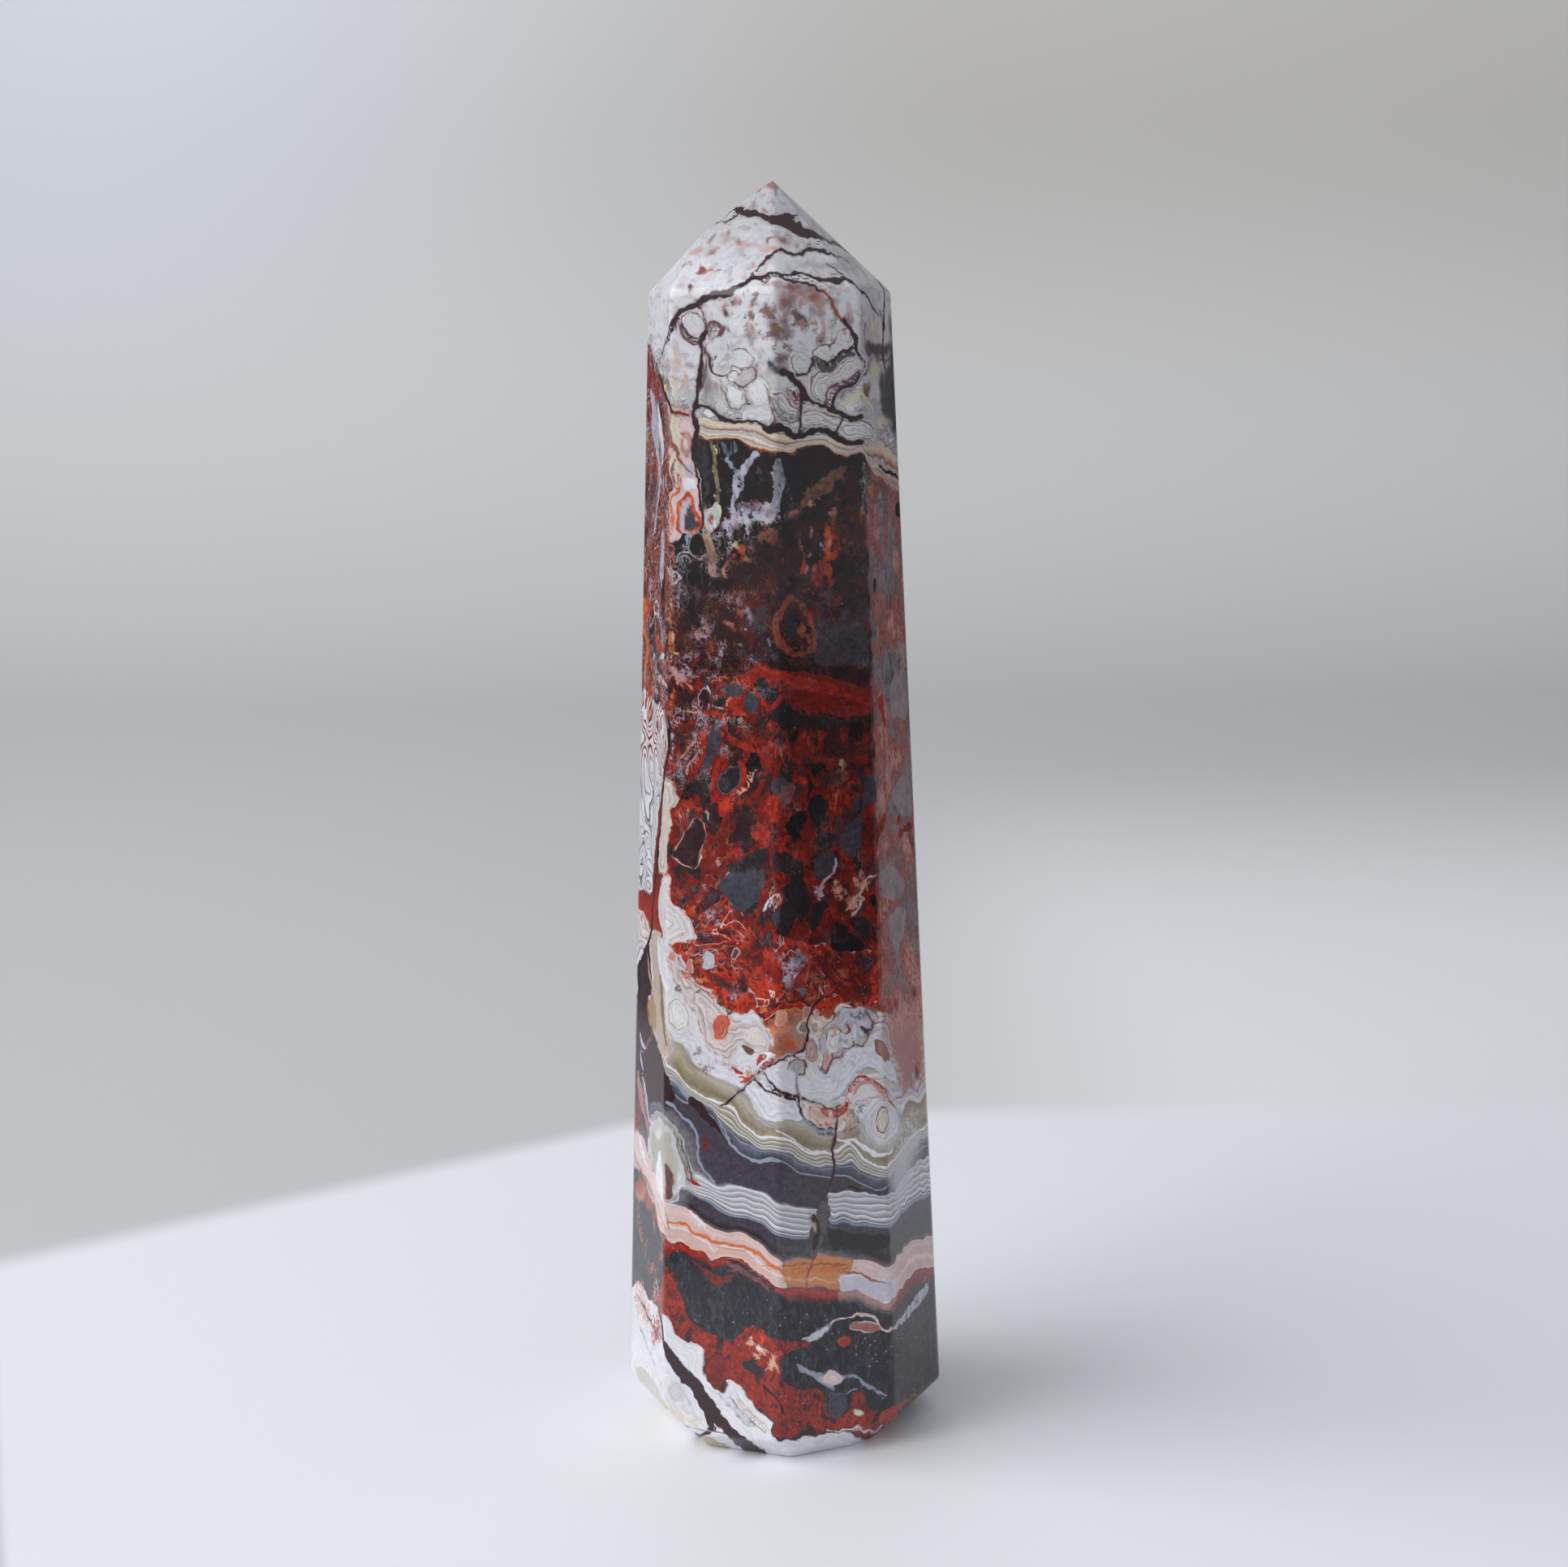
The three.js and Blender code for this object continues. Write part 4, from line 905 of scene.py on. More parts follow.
# %% Pale and coloured strokes
PALE_STROKES = [
    ("lilac", 10, "802,472,6 805,500,16 807,530,24 810,553,12 813,580,8 811,615,8 808,640,6 806,655,4"),
    ("white", 7, "811,500,5 814,530,12 816,552,10 817,570,5"),
    ("lilac", 8, "816,652,4 817,675,14 815,700,14 815,720,7"),
    ("rust", 9, "801,560,4 802,572,12 799,590,5"),
    ("rust", 8, "810,558,4 811,570,10 808,588,6"),
    ("slate", 9, "804,578,4 806,595,14 804,612,12 803,625,5"),
    ("flame", 10, "797,740,6 800,750,14 796,764,5"),
    ("flame", 10, "808,786,6 812,795,14 818,803,8"),
    ("flame", 9, "797,838,6 800,850,16 801,862,6"),
    ("haze", 5, "811,757,3 815,775,9 817,795,5"),
    ("ink", 8, "800,777,4 802,784,14 801,792,4"),
    ("soot", 12, "808,816,8 813,822,18 816,834,8"),
    ("white", 3, "811,831,3 817,840,6 822,846,4"),
    ("white", 3, "807,744,2 809,741,3 812,748,3 811,757,3 807,756,3 806,748,2"),
    ("mauve", 7, "790,470,4 787,500,9 790,540,6 786,570,3"),
    ("vein", 8, "800,580,4 797,610,12 799,640,8 796,670,4"),
    ("orange", 8, "792,735,4 796,748,12 792,770,8 798,800,10 794,830,8 800,850,4"),
    ("slate", 14, "805,798,6 810,803,18 815,806,6"),
    ("white", 3, "805,811,2 811,809,5 818,808,5 811,814,3"),
    ("white", 2, "801,772,2 804,766,3 806,762,2"),
    ("haze", 5, "896,566,3 902,575,6 909,583,4"),
    ("lilac", 6, "932,559,8 926,568,8 919,577,6 914,585,4"),
    ("haze", 4, "915,587,4 913,598,5 908,604,4"),
    ("lilac", 4, "906,586,4 904,598,4 905,606,6 904,618,6 904,632,6 903,645,4"),
    ("steel", 4, "903,545 905,557"),
    ("steel", 4, "890,548 898,561"),
    ("fog", 5, "957,571,5 957,590,6 955,610,6 952,630,5"),
    ("haze", 4, "963,570,4 964,588,5 963,605,4 960,625,4"),
    ("olive", 5, "877,546,5 880,560,6 881,575,4 883,590,5 885,605,4 884,620,4"),
    ("tan", 11, "873,660,9 874,672,10 877,690,11 879,707,8"),
    ("orange", 5, "825,668,5 827,645,6 828,622,5 833,604,4 838,592,2"),
    ("umber", 4, "833,566,2 830,580,5 828,596,4"),
    ("mauve", 2, "821,538,1 827,548,2 835,560,3 838,566,1"),
    ("umber", 12, "985,626,4 1000,611,13 1015,599,16 1030,586,13 1042,574,5"),
    ("gold", 4, "990,622,2 1003,608,6 1018,596,5 1034,580,2"),
    ("butter", 2, "998,614,1 1006,606,3 1013,602,1"),
    ("rust", 8, "976,735 960,757 956,780 966,800 986,806,6 1000,800 1003,780 994,757 985,742"),
    ("lilac", 2, "834,690 836,684 842,680 850,681 855,686 862,688 868,684 872,684,1"),
    ("fog", 1.5, "853,700 852,708 856,716 860,722,1"),
    ("haze", 5, "845,668,3 846,661,5 852,656,6 860,652,5 866,651,3"),
    ("white", 2, "822,700 828,708 834,704 838,712 832,718"),
    ("red", 8, "912,835,3 930,828,10 955,834,12 985,842,14 1015,848,14 1045,858,10 1068,866,4"),
    ("flame", 3, "920,832,2 940,824,5 965,832,4 995,838,5 1030,848,3 1055,858,1"),
    ("ember", 3, "940,836,1 965,842,4 995,850,3 1025,860,5 1055,870,2"),
    ("ember", 2, "960,856,1 990,866,3 1020,872,2 1050,874,1"),
    ("red", 6, "922,843 914,853 905,864 900,870,7 908,878 918,882"),
    ("red", 6, "928,846 934,856 940,868 947,874,8 955,868 962,860"),
    ("red", 7, "862,872,4 876,878,8 890,884,9 897,896,7 900,910,6 912,918,8 925,924"),
    ("red", 6, "870,892,5 866,905,8 870,920,6 864,935,5 856,950,5"),
    ("red", 7, "893,930,5 886,945,7 880,958,6 874,972"),
    ("red", 8, "912,940 920,955,6 908,970,6 900,984,7"),
    ("ember", 6, "1060,940,3 1052,955,7 1060,968,5 1064,985,5 1070,1000,6 1072,1030,7 1066,1055,5"),
    ("ember", 5, "995,985,3 1010,972,8 1025,978,4 1038,968,4 1050,960"),
    ("ember", 4, "1025,1165,3 1030,1150,5 1026,1138,4 1022,1124"),
    ("blush", 1.5, "844,842,1 850,846,3 853,850,1"),
    ("white", 1.5, "860,864,1 864,854 870,851,3 874,856 876,868,1"),
    ("white", 1.5, "871,846,2 873,854,3 875,862,1"),
    ("haze", 1.5, "900,843,2 903,852,2 908,861,1"),
    ("white", 2, "882,869,1 886,867,3 890,869,1"),
    ("blush", 2, "848,876,2 858,880,3 868,886,1"),
    ("blush", 1.5, "852,905 856,910 853,917 847,915"),
    ("blush", 2, "840,935 848,925 856,915 864,908,1"),
    ("blush", 2, "845,955 850,942 858,932 862,922,1"),
    ("peach", 2, "912,980 918,972 926,962 932,950,1"),
    ("pearl", 2, "877,1013,4 874,1008 870,1000,1"),
    ("blush", 1.5, "884,1068 890,1062 894,1058 888,1057 882,1062"),
    ("peach", 2, "886,1090 893,1082 898,1076"),
    ("white", 1.5, "900,1112 910,1120 918,1128,1"),
    ("red", 3, "905,1100,2 912,1088,4 918,1076,2"),
    ("rust", 1.5, "838,1195 848,1208 858,1216 868,1220 878,1230 884,1240"),
    ("red", 3, "900,1316,2 908,1320,6 916,1322,2"),
    ("flame", 3, "914,1332,2 922,1330,5 930,1326,2"),
    ("snow", 4, "939,1297,3 946,1301,5 954,1300,2"),
    ("red", 3, "1045,1345,2 1050,1337 1056,1330 1066,1326,3 1078,1332 1088,1340 1093,1350 1100,1362 1107,1366,1"),
    ("blush", 4, "1050,1350,2 1058,1338,5 1070,1334 1082,1342 1090,1356,3"),
    ("white", 3, "956,1394,2 972,1401 985,1410 1002,1418 1024,1422"),
    ("snow", 3, "1030,1404 1042,1406,4 1052,1402 1060,1410,4 1072,1420 1086,1424 1100,1416,3"),
    ("tan", 3, "952,1342,2 964,1347,5 978,1350,2"),
    ("haze", 4, "818,1306,2 826,1322 836,1338,5 846,1352 856,1362,2"),
    ("haze", 3, "820,1356 832,1365 845,1378 853,1388 857,1396 858,1410 862,1430 866,1442 874,1450 882,1456,2"),
    ("haze", 4, "884,1378,2 890,1390 900,1408,4 912,1420 925,1427 940,1431 960,1432,3"),
    ("smoke", 3, "838,1402,2 845,1420 850,1440 854,1452,2"),
    ("olive", 3, "828,1393,2 836,1410 841,1428 846,1448,3 849,1454,1"),
    ("red", 4, "848,1454,2 854,1456,5 861,1459,2"),
    ("pink", 5, "783,1395,3 792,1420,6 803,1448 813,1474,6 820,1486,3"),
    ("orange", 2, "783,1430,1 795,1452,3 805,1478 811,1508 817,1530,2"),
    ("snow", 22, "813,1420,3 812,1440,24 813,1460,24 816,1478,8"),
    ("orange", 4, "821,1507,3 832,1505 845,1509,4 857,1519 868,1525 882,1531 898,1533 915,1537,4 930,1543 945,1554 "
     "958,1564,5 970,1572 985,1568,2 1010,1566 1040,1567,3 1060,1570,2"),
    ("white", 3, "850,1492,2 860,1502,4 870,1514,2"),
    ("peach", 2, "822,1524 840,1527 856,1538 872,1545 884,1543 904,1547 922,1552 940,1566 954,1580"),
    ("rust", 3, "965,1560,2 980,1558 1000,1556 1025,1558 1045,1558,2"),
    ("peach", 2, "967,1578 985,1576 1005,1578 1030,1580"),
    ("rust", 3, "1034,1568,2 1048,1566 1060,1571,3 1076,1577 1092,1580,1"),
    ("mauve", 5, "896,1556,2 912,1564,7 930,1576 945,1588,4"),
    ("brick", 6, "852,1553,3 864,1562 876,1572,10 890,1578 902,1572,4"),
    ("pink", 4, "1103,1583,3 1112,1567 1122,1553,5 1133,1548 1150,1550,4"),
    ("brick", 5, "1102,1611,3 1112,1594 1124,1579,6 1135,1573 1150,1570,4"),
    ("red", 5, "940,1640 948,1652 955,1668"),
    ("peach", 2, "948,1668,1 954,1680,3 960,1694,1"),
    ("pink", 3, "1018,1642,2 1023,1631,3 1036,1625,2 1055,1621,3 1070,1619 1079,1625 1084,1634 1092,1640 1099,1636,2"),
    ("lilac", 8, "1099,1639,3 1108,1630,8 1117,1620,11 1124,1610,12 1133,1600,14 1142,1588,10"),
    ("rose", 5, "1103,1633,2 1112,1624,6 1121,1613,5 1130,1602,6 1138,1592,4"),
    ("haze", 4, "1018,1697,2 1030,1699,5 1042,1696 1056,1695,3 1064,1703 1074,1711,4 1092,1718,1"),
    ("haze", 2, "1043,1720,1 1049,1713 1057,1712,1"),
    ("white", 2, "1020,1762 1035,1763 1050,1761 1057,1757 1062,1762 1072,1765 1082,1762 1090,1752"),
    ("rust", 3, "1104,1738,2 1112,1730 1122,1722,3 1130,1716"),
    ("cream", 2, "822,1696,2 818,1708,3 818,1722,3 824,1734,3 832,1744,3 842,1752,2"),
    ("cream", 2, "828,1734,2 838,1742,3 850,1750,3 862,1758,2"),
    ("sand", 1.5, "815,1700,1 813,1716,2 818,1732,2 828,1745,2 840,1756,2 852,1763,1"),
    ("sand", 1.5, "846,1722,1 850,1734,2 858,1745,2 866,1752,1"),
    ("pearl", 3, "842,1716,2 846,1728,4 854,1740,4 862,1748,2"),
    ("haze", 3, "788,1634,2 794,1650,4 800,1666,3 808,1682,2"),
    ("fog", 1.5, "884,1714,1 892,1726,2 902,1736,2 912,1746,2 922,1758,1"),
    ("fog", 1.5, "895,1716,1 906,1730,2 918,1742,2 930,1754,2 944,1766,1"),
    ("sand", 1.5, "905,1714,1 914,1728,2 926,1740,2 938,1752,2 950,1764,1"),
    ("pearl", 3, "889,1718,2 900,1732,4 912,1744,4 926,1758,2"),
    ("blush", 5, "798,1176,2 800,1196,5 803,1216,3"),
    ("tan", 16, "803,1228,6 804,1240,22 805,1255,20 807,1268,6"),
    ("rust", 6, "799,1232,3 798,1242,8 800,1250,3"),
    ("snow", 7, "811,1156,6 812,1175,8 814,1195,8 818,1210,6 821,1220,4"),
    ("olive", 9, "812,1200,3 815,1216,8 816,1240,10 818,1265,9 821,1288,5"),
    ("lilac", 6, "789,1274,3 791,1284,8 795,1293,3"),
    ("lilac", 6, "789,1298,3 791,1307,7 793,1318,2"),
    ("mauve", 6, "802,1262,4 803,1275,6 798,1286,6 795,1294,2"),
    ("veil", 10, "786,1322,4 788,1340,14 792,1362,12 797,1385,7 800,1398,3"),
    ("pearl", 4, "792,1325,2 795,1345,6 798,1364,6 801,1385,2"),
    ("red", 8, "783,1370,4 785,1384,11 784,1394,5"),
    ("snow", 6, "788,1400,3 792,1420,9 798,1438,5"),
    ("steel", 4, "1030,490,3 1036,487,6 1048,482,5 1056,474,3 1063,466,3 1070,455,3 1074,442,2"),
    ("cream", 5, "1040,494,4 1052,491,7 1062,484,5 1068,494,6 1076,504,5"),
    ("smoke", 5, "860,500,3 858,490,5 862,476,6 866,462,5 868,450,3"),
    ("white", 1.5, "829,1054,1 838,1064 850,1069 856,1070 862,1060 866,1052,1"),
    ("cream", 3, "1050,1112 1058,1100 1068,1085 1080,1078,1"),
    ("cream", 3, "1050,1128 1058,1118 1062,1110"),
    ("lilac", 4, "1005,1098 1018,1085 1028,1070 1030,1058,2"),
    ("white", 3, "905,1108 912,1090 918,1072,1"),
    ("white", 2, "940,1122 948,1108 958,1100 960,1112"),
]
stroke_layer("pale", PALE_STROKES)

# %% Dark veins and cracks
DARK_STROKES = [
    ("vein", 8, "898,262,3 905,257,4 912,257,8 925,263 940,266 950,270,10 962,273,14 975,277,16 985,283,14 "
     "1000,289,10 1010,292,7 1020,297,5 1033,302,4 1045,310,3 1060,322 1075,337 1085,350 1089,365 1089,400 "
     "1088,440 1090,458,2"),
    ("vein", 8, "968,268 978,268,6"),
    ("vein", 2, "912,262,3 900,271,2 882,274,1"),
    ("vein", 4, "816,436,3 820,422 824,408 830,396,5 835,386,7 848,379,8 858,375,8 868,369,9 880,364,9 "
     "895,361,7 905,356,6 915,349 928,344 940,341,5 955,338,4 970,337 985,338 1000,341 1015,343,5 1030,346,6 "
     "1042,345,4 1055,352,3 1064,361 1074,376 1083,390,2"),
    ("vein", 3, "926,340,2 935,328 945,318,3 955,312,4 964,309,7 970,311,5 980,312,4 995,310 1012,307 "
     "1022,312,2 1045,322,1"),
    ("vein", 2, "1018,325,1 1030,333,2 1042,343,1"),
    ("vein", 2, "940,350,1 958,342,2 980,347,3 1000,353 1013,360,3"),
    ("vein", 5, "1040,394 1048,408 1055,420,6 1058,432,4 1062,445,2"),
    ("mauve", 2, "867,378,2 867,392 868,400,2"),
    ("vein", 5, "869,401,3 866,410,5 864,420,5 866,430,3 864,442,5 862,458,6 859,478,4 857,500 857,520,6 856,545,7 "
     "857,562,6"),
    ("vein", 3, "835,387,4 831,398,3 827,410 822,424,2"),
    ("vein", 1.5, "836,391,1 841,396,2 843,406 848,414 856,417,2 863,414"),
    ("mauve", 2, "836,397,2 839,410 846,420,3 855,424 862,424,2"),
    ("peach", 2, "894,1262,1 893,1271,2 888,1279,1"),
    ("snow", 3, "938,1299,2 944,1297,4 949,1299,4 944,1305,3 938,1312,3 934,1319,2"),
    ("haze", 4, "992,1378,3 1000,1388,5 1012,1395,5 1026,1396,3"),
    ("vein", 1.5, "983,1352,2 988,1368 996,1382,1 1006,1394,2 1018,1399 1029,1399,1"),
    ("vein", 2, "999,1380,1 1008,1388,2 1018,1391 1030,1392,1"),
    ("mauve", 1.5, "948,500,2 953,508,3 955,519,3"),
    ("dusk", 1.5, "891,476,1 893,490,2 900,501 911,504,2 919,497 921,484,1"),
    ("vein", 2.5, "975,460,2 986,462,3 996,460 1000,452,2 1001,442,2 1006,439 1012,445,3 1018,448 1024,445,2 1032,439,3 "
     "1036,432 1043,431,3 1051,429 1056,423,2"),
    ("mauve", 2.5, "1016,496,3 1019,481,2 1026,476,3 1036,472 1047,465,3 1058,457,2"),
    ("vein", 4, "1025,499,4 1028,487,4 1036,482,4 1048,475,5 1057,467,4 1062,462,2"),
    ("smoke", 5, "1004,446,3 1010,454,8 1020,455,7 1030,448,6 1040,440,6 1052,434,4"),
    ("vein", 2.5, "1040,515,2 1036,523,3 1033,531 1030,539,2"),
    ("dusk", 1.5, "953,490,1 955,503,2 964,513 976,516 986,512,1"),
    ("fog", 1.5, "957,489,1 960,500,2 968,508 978,510 986,506,1"),
    ("mauve", 2, "869,406,4 876,400 884,399 889,404 889,410 884,412,1"),
    ("mauve", 1.5, "867,424 870,433 878,440"),
    ("mauve", 1.5, "905,470 912,475 922,474 930,466 932,455 929,449 922,452,1"),
    ("umber", 2, "949,486,1 947,497 951,508 956,517,3"),
    ("brick", 3, "979,479,1 977,485,4 981,490,4 988,489,2"),
    ("mauve", 1.5, "970,478 969,487 974,495 984,498 991,494"),
    ("vein", 2, "921,498,3 925,498,1"),
    ("rust", 3, "1012,358 1022,370 1030,383 1037,393"),
    ("dusk", 1.5, "871,418,1 878,405,2 892,402 900,410,1"),
    ("vein", 2, "876,442 874,452 880,461 890,464 896,462,1"),
    ("vein", 6, "965,458 972,463 980,470,5 988,480,6 992,490,10 1000,495,4 1010,499 1022,504,5 1035,511,6 "
     "1048,515,7 1062,514,6"),
    ("vein", 4, "989,492 987,510 985,522,3 984,532,2"),
    ("steel", 2, "1066,400 1066,420 1072,436 1070,448 1066,460"),
    ("smoke", 2, "1084,380 1087,400 1088,430 1090,450,3 1091,462,1"),
    ("smoke", 2, "1078,436 1084,443 1092,444 1098,438"),
    ("vein", 4, "857,498 868,502 880,508 890,516,5 905,520 918,517,3 930,519 945,526,5"),
    ("ink", 12, "947,528 957,526,14 966,530,12 976,537,10 986,537,7 1000,532,6 1012,530 1024,534,8 1034,541 "
     "1048,545,7 1064,546,6"),
    ("ink", 5, "1083,575,4 1095,582 1108,588"),
    ("vein", 5, "812,462 818,480,8 824,495,6 828,507,4"),
    ("brick", 3, "826,508 840,512 850,513"),
    ("rust", 2, "822,535 835,560 845,575 852,585"),
    ("vein", 3, "856,560 858,580 862,610 866,635 862,655"),
    ("ink", 5, "823,880,3 823,930,4 818,960,5 815,1000 811,1050 806,1100 803,1140 800,1160,6 793,1179,7 787,1194,14 788,1210,16 "
     "791,1226,8"),
    ("vein", 3, "1060,985 1058,1000 1050,1010"),
    ("maroon", 2, "1078,1180,1 1068,1187 1060,1198 1048,1206,2 1038,1213 1026,1224 1010,1233,2 1001,1240"),
    ("vein", 2, "1001,1240,2 998,1252 995,1270 992,1284,3 984,1295 970,1301,2 957,1309 943,1318 932,1327,1 "
     "920,1337 908,1347,2 898,1358,4 890,1364,1"),
    ("vein", 2, "930,1331 940,1340 952,1347,3 966,1352 978,1355"),
    ("vein", 2, "942,1322,1 950,1335,2 962,1345,3 975,1350 985,1352,2 992,1356 1001,1359,1 1011,1357 1016,1363,2 "
     "1026,1367 1034,1362,1"),
    ("dusk", 2, "983,1322,1 982,1336,2 982,1350,2"),
    ("vein", 2, "1030,1362,1 1032,1385,2 1029,1400,3 1027,1422 1026,1446,3 1023,1466,2 1016,1482,1"),
    ("soot", 4, "1002,1500,6 1008,1515 1004,1540"),
    ("rust", 2, "1002,1548 999,1560 992,1585"),
    ("vein", 4, "1044,1466,2 1052,1463,5 1060,1468,3"),
    ("steel", 2, "1016,1511 1024,1509 1032,1512"),
    ("khaki", 2, "1004,1515 1000,1505 998,1495"),
    ("maroon", 2, "872,1550,1 880,1557 892,1551 908,1556 922,1560 940,1576 956,1591,3"),
    ("soot", 2, "1080,1612,1 1092,1616 1101,1610 1108,1598"),
    ("vein", 13, "812,1610,6 816,1640,7 820,1662,10 832,1680,14 846,1695 858,1712 868,1725 880,1742 892,1757 "
     "905,1770 920,1782 938,1792"),
    ("vein", 6, "872,1740 876,1755 878,1764,5 868,1766 850,1765,3"),
    ("ink", 3, "940,1705 952,1722 965,1740"),
    ("vein", 5, "786,1595,3 800,1625 812,1650"),
    ("umber", 1.5, "1066,1246 1070,1254 1074,1262 1072,1272"),
    ("rust", 3, "1023,1244,2 1027,1250,5 1024,1254,2"),
    ("rust", 4, "1043,1262,2 1046,1267,5 1044,1272,2"),
    ("plum", 5, "1062,1268,3 1067,1271,6 1071,1268,2"),
    ("umber", 1, "1008,1314,1 1015,1321 1022,1316 1028,1306 1036,1300 1038,1293 1046,1292,2 1051,1287 1053,1281,1"),
    ("umber", 1, "1054,1286,1 1062,1288,2 1069,1281,1 1073,1272 1076,1263 1083,1261 1090,1256"),
    ("umber", 2, "972,1316 978,1306 990,1306 995,1318 986,1324"),
    ("khaki", 2, "1014,1270,1 1022,1271,3 1030,1268 1036,1270,1"),
]
stroke_layer("dark", DARK_STROKES)

# %% [markdown]
# ## Where each kind of grain shows
# Broken breccia, feathery moss, upright streaks and glitter each fill a part of the stone. A
# soft share for each is enough here, because the material draws the grain itself.

# %% Shares of grain
shares = {
    "breccia": share_of("826,840 900,850 960,880 1070,890 1180,870 1180,1165 1000,1170 940,1145 900,1120 "
                        "880,1085 826,1075"),
    "moss": share_of("812,1165 880,1075 905,1125 950,1150 1070,1170 1190,1170 1190,1270 1085,1245 1040,1236 "
                     "1000,1250 950,1262 900,1245 860,1215 835,1190", 12),
    "streaks": share_of("790,450 812,455 826,520 830,600 832,700 830,780 826,860 778,860", 8),
    "glitter": share_of("825,1545 880,1550 960,1590 1100,1610 1160,1590 1160,1720 1000,1750 940,1700 870,1650"),
}
shares["jasper"] = share_of("870,760 905,735 960,720 990,680 1015,650 1062,640 1100,640 1180,640 1180,900 960,890 "
                            "900,860 840,850 826,800", 30)
shares["fibre"] = np.maximum(
    share_of("826,600 860,640 930,640 940,700 950,760 940,840 930,900 880,960 826,960 790,860 790,480 826,480", 30),
    0.14 * share_of("826,640 1060,640 1070,1150 826,1150", 30),
)
shares["freckle"] = np.maximum(
    share_of("880,372 940,348 1010,358 1050,400 1045,425 1000,435 960,445 930,430 900,400", 14),
    0.4 * share_of("951,200 700,380 720,470 870,470 960,470 1060,430 1200,380", 20),
)
shares["freckle"] = np.maximum(
    shares["freckle"], 0.8 * share_of("1022,1248 1045,1242 1078,1246 1078,1268 1062,1284 1040,1288 1020,1284", 5)
)
shares["lace"] = share_of("768,860 795,850 805,862 815,870 822,885 822,920 818,950 812,1000 806,1060 802,1100 "
                          "795,1098 768,1085 760,1000 760,930", 5)
shares["matrix"] = share_of("822,1558 835,1590 850,1625 870,1640 885,1648 905,1650 920,1635 940,1640 955,1650 985,1655 "
                       "1000,1650 990,1662 965,1668 958,1690 975,1710 1000,1712 1015,1722 1020,1740 1035,1746 1045,1740 "
                       "1050,1722 1062,1716 1068,1735 1080,1740 1095,1738 1105,1728 1120,1722 1112,1735 1100,1745 1085,1765 "
                       "1068,1772 1050,1765 1030,1762 1010,1768 990,1765 975,1770 958,1771 955,1762 965,1757 950,1748 935,1735 "
                       "915,1735 900,1715 888,1716 878,1712 866,1698 858,1682 862,1668 855,1660 845,1655 "
                       "835,1650 825,1640 820,1632 816,1620 812,1600", 8)
# Deeper, redder colour over the dark middle, most of it on the right front side: partly the stone's own deeper colour,
# partly painted shade on the side turned away from the window light.
shares["deep"] = share_of("838,700 962,640 1000,600 1065,600 1082,1170 985,1170 972,1000 950,850 900,830 842,830", 14)
# A pale wash over the right-hand side, strongest in its upper middle: partly a duller polish there, which the roughness
# follows too, and partly a painted reflection of the bright room that pales this side.
right_side = np.interp(sheet_y, RIGHT_EDGE[:, 0], RIGHT_EDGE[:, 1])
shares["haze"] = np.clip((sheet_x - right_side) / 4, 0, 1) * np.interp(
    sheet_y, [350, 430, 560, 620, 1220, 1280, 1400, 1520, 1620], [0, 0.3, 0.1, 0.85, 0.8, 0.35, 0, 0.1, 0.05]
)
shares["slate"] = np.maximum(
    share_of("825,1540 880,1545 960,1590 1160,1575 1160,1720 1100,1730 1000,1750 940,1700 870,1650"),
    2 * share_of("700,1440 783,1436 795,1455 806,1482 814,1515 820,1540 822,1570 812,1590 800,1575 700,1560", 8),
)
print({name: round(float(share.mean()), 3) for name, share in shares.items()})

# %% Put the drawing on the mesh
for vertex, place in zip(bead.verts, stone):
    vertex.co = place * MM
bmesh.ops.recalc_face_normals(bead, faces=bead.faces)
mesh = bpy.data.meshes.new("tower")
bead.to_mesh(mesh)
bead.free()
mesh.shade_smooth()


def store(name, values):
    """Keeps one number, arrow or colour for each vertex under a name the material can read."""
    kinds = {1: "FLOAT", 3: "FLOAT_VECTOR", 4: "FLOAT_COLOR"}
    fields = {1: "value", 3: "vector", 4: "color"}
    width = 1 if values.ndim == 1 else values.shape[1]
    attribute = mesh.attributes.new(name, kinds[width], "POINT")
    attribute.data.foreach_set(fields[width], values.astype(np.float32).ravel())


store("level", level)
for name, layer in layers.items():
    for part, values in layer.items():
        store(f"{name}_{part}", values)
for name, share in shares.items():
    store(f"{name}_share", share)

tower = bpy.data.objects.new("agate_tower_stone", mesh)
scene.collection.objects.link(tower)
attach(tower, "root")
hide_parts("agate_tower")
print(len(mesh.vertices), "vertices carry", len(mesh.attributes), "attributes")

# %% [markdown]
# ## Building the material
# One polished finish covers the stone, and everything that changes over it is colour. A few
# short helpers place and join nodes, and each kind of grain is a node group of its own, so it
# can be tuned without touching the rest.

# %% Node helpers
def put(tree, kind, inputs=None, **settings):
    """Adds a node, sets its options, and fills or joins its inputs."""
    node = tree.nodes.new(kind)
    for name, value in settings.items():
        setattr(node, name, value)
    for name, value in (inputs or {}).items():
        if isinstance(value, bpy.types.NodeSocket):
            tree.links.new(value, node.inputs[name])
        else:
            node.inputs[name].default_value = value
    return node


def calc(tree, operation, a, b=0.0, c=0.0, clamp=False):
    return put(tree, "ShaderNodeMath", {0: a, 1: b, 2: c}, operation=operation, use_clamp=clamp).outputs[0]


def smooth(tree, value, low, high, to_low=0.0, to_high=1.0):
    """A soft step as the value rises from low to high."""
    inputs = {"Value": value, "From Min": low, "From Max": high, "To Min": to_low, "To Max": to_high}
    return put(tree, "ShaderNodeMapRange", inputs, interpolation_type="SMOOTHSTEP").outputs["Result"]


def over(tree, share, under, top, mode="MIX"):
    """The top colour laid over the one under it, as far as the share says."""
    node = put(tree, "ShaderNodeMix", {0: share, 6: under, 7: top}, data_type="RGBA", blend_type=mode)
    return node.outputs[2]


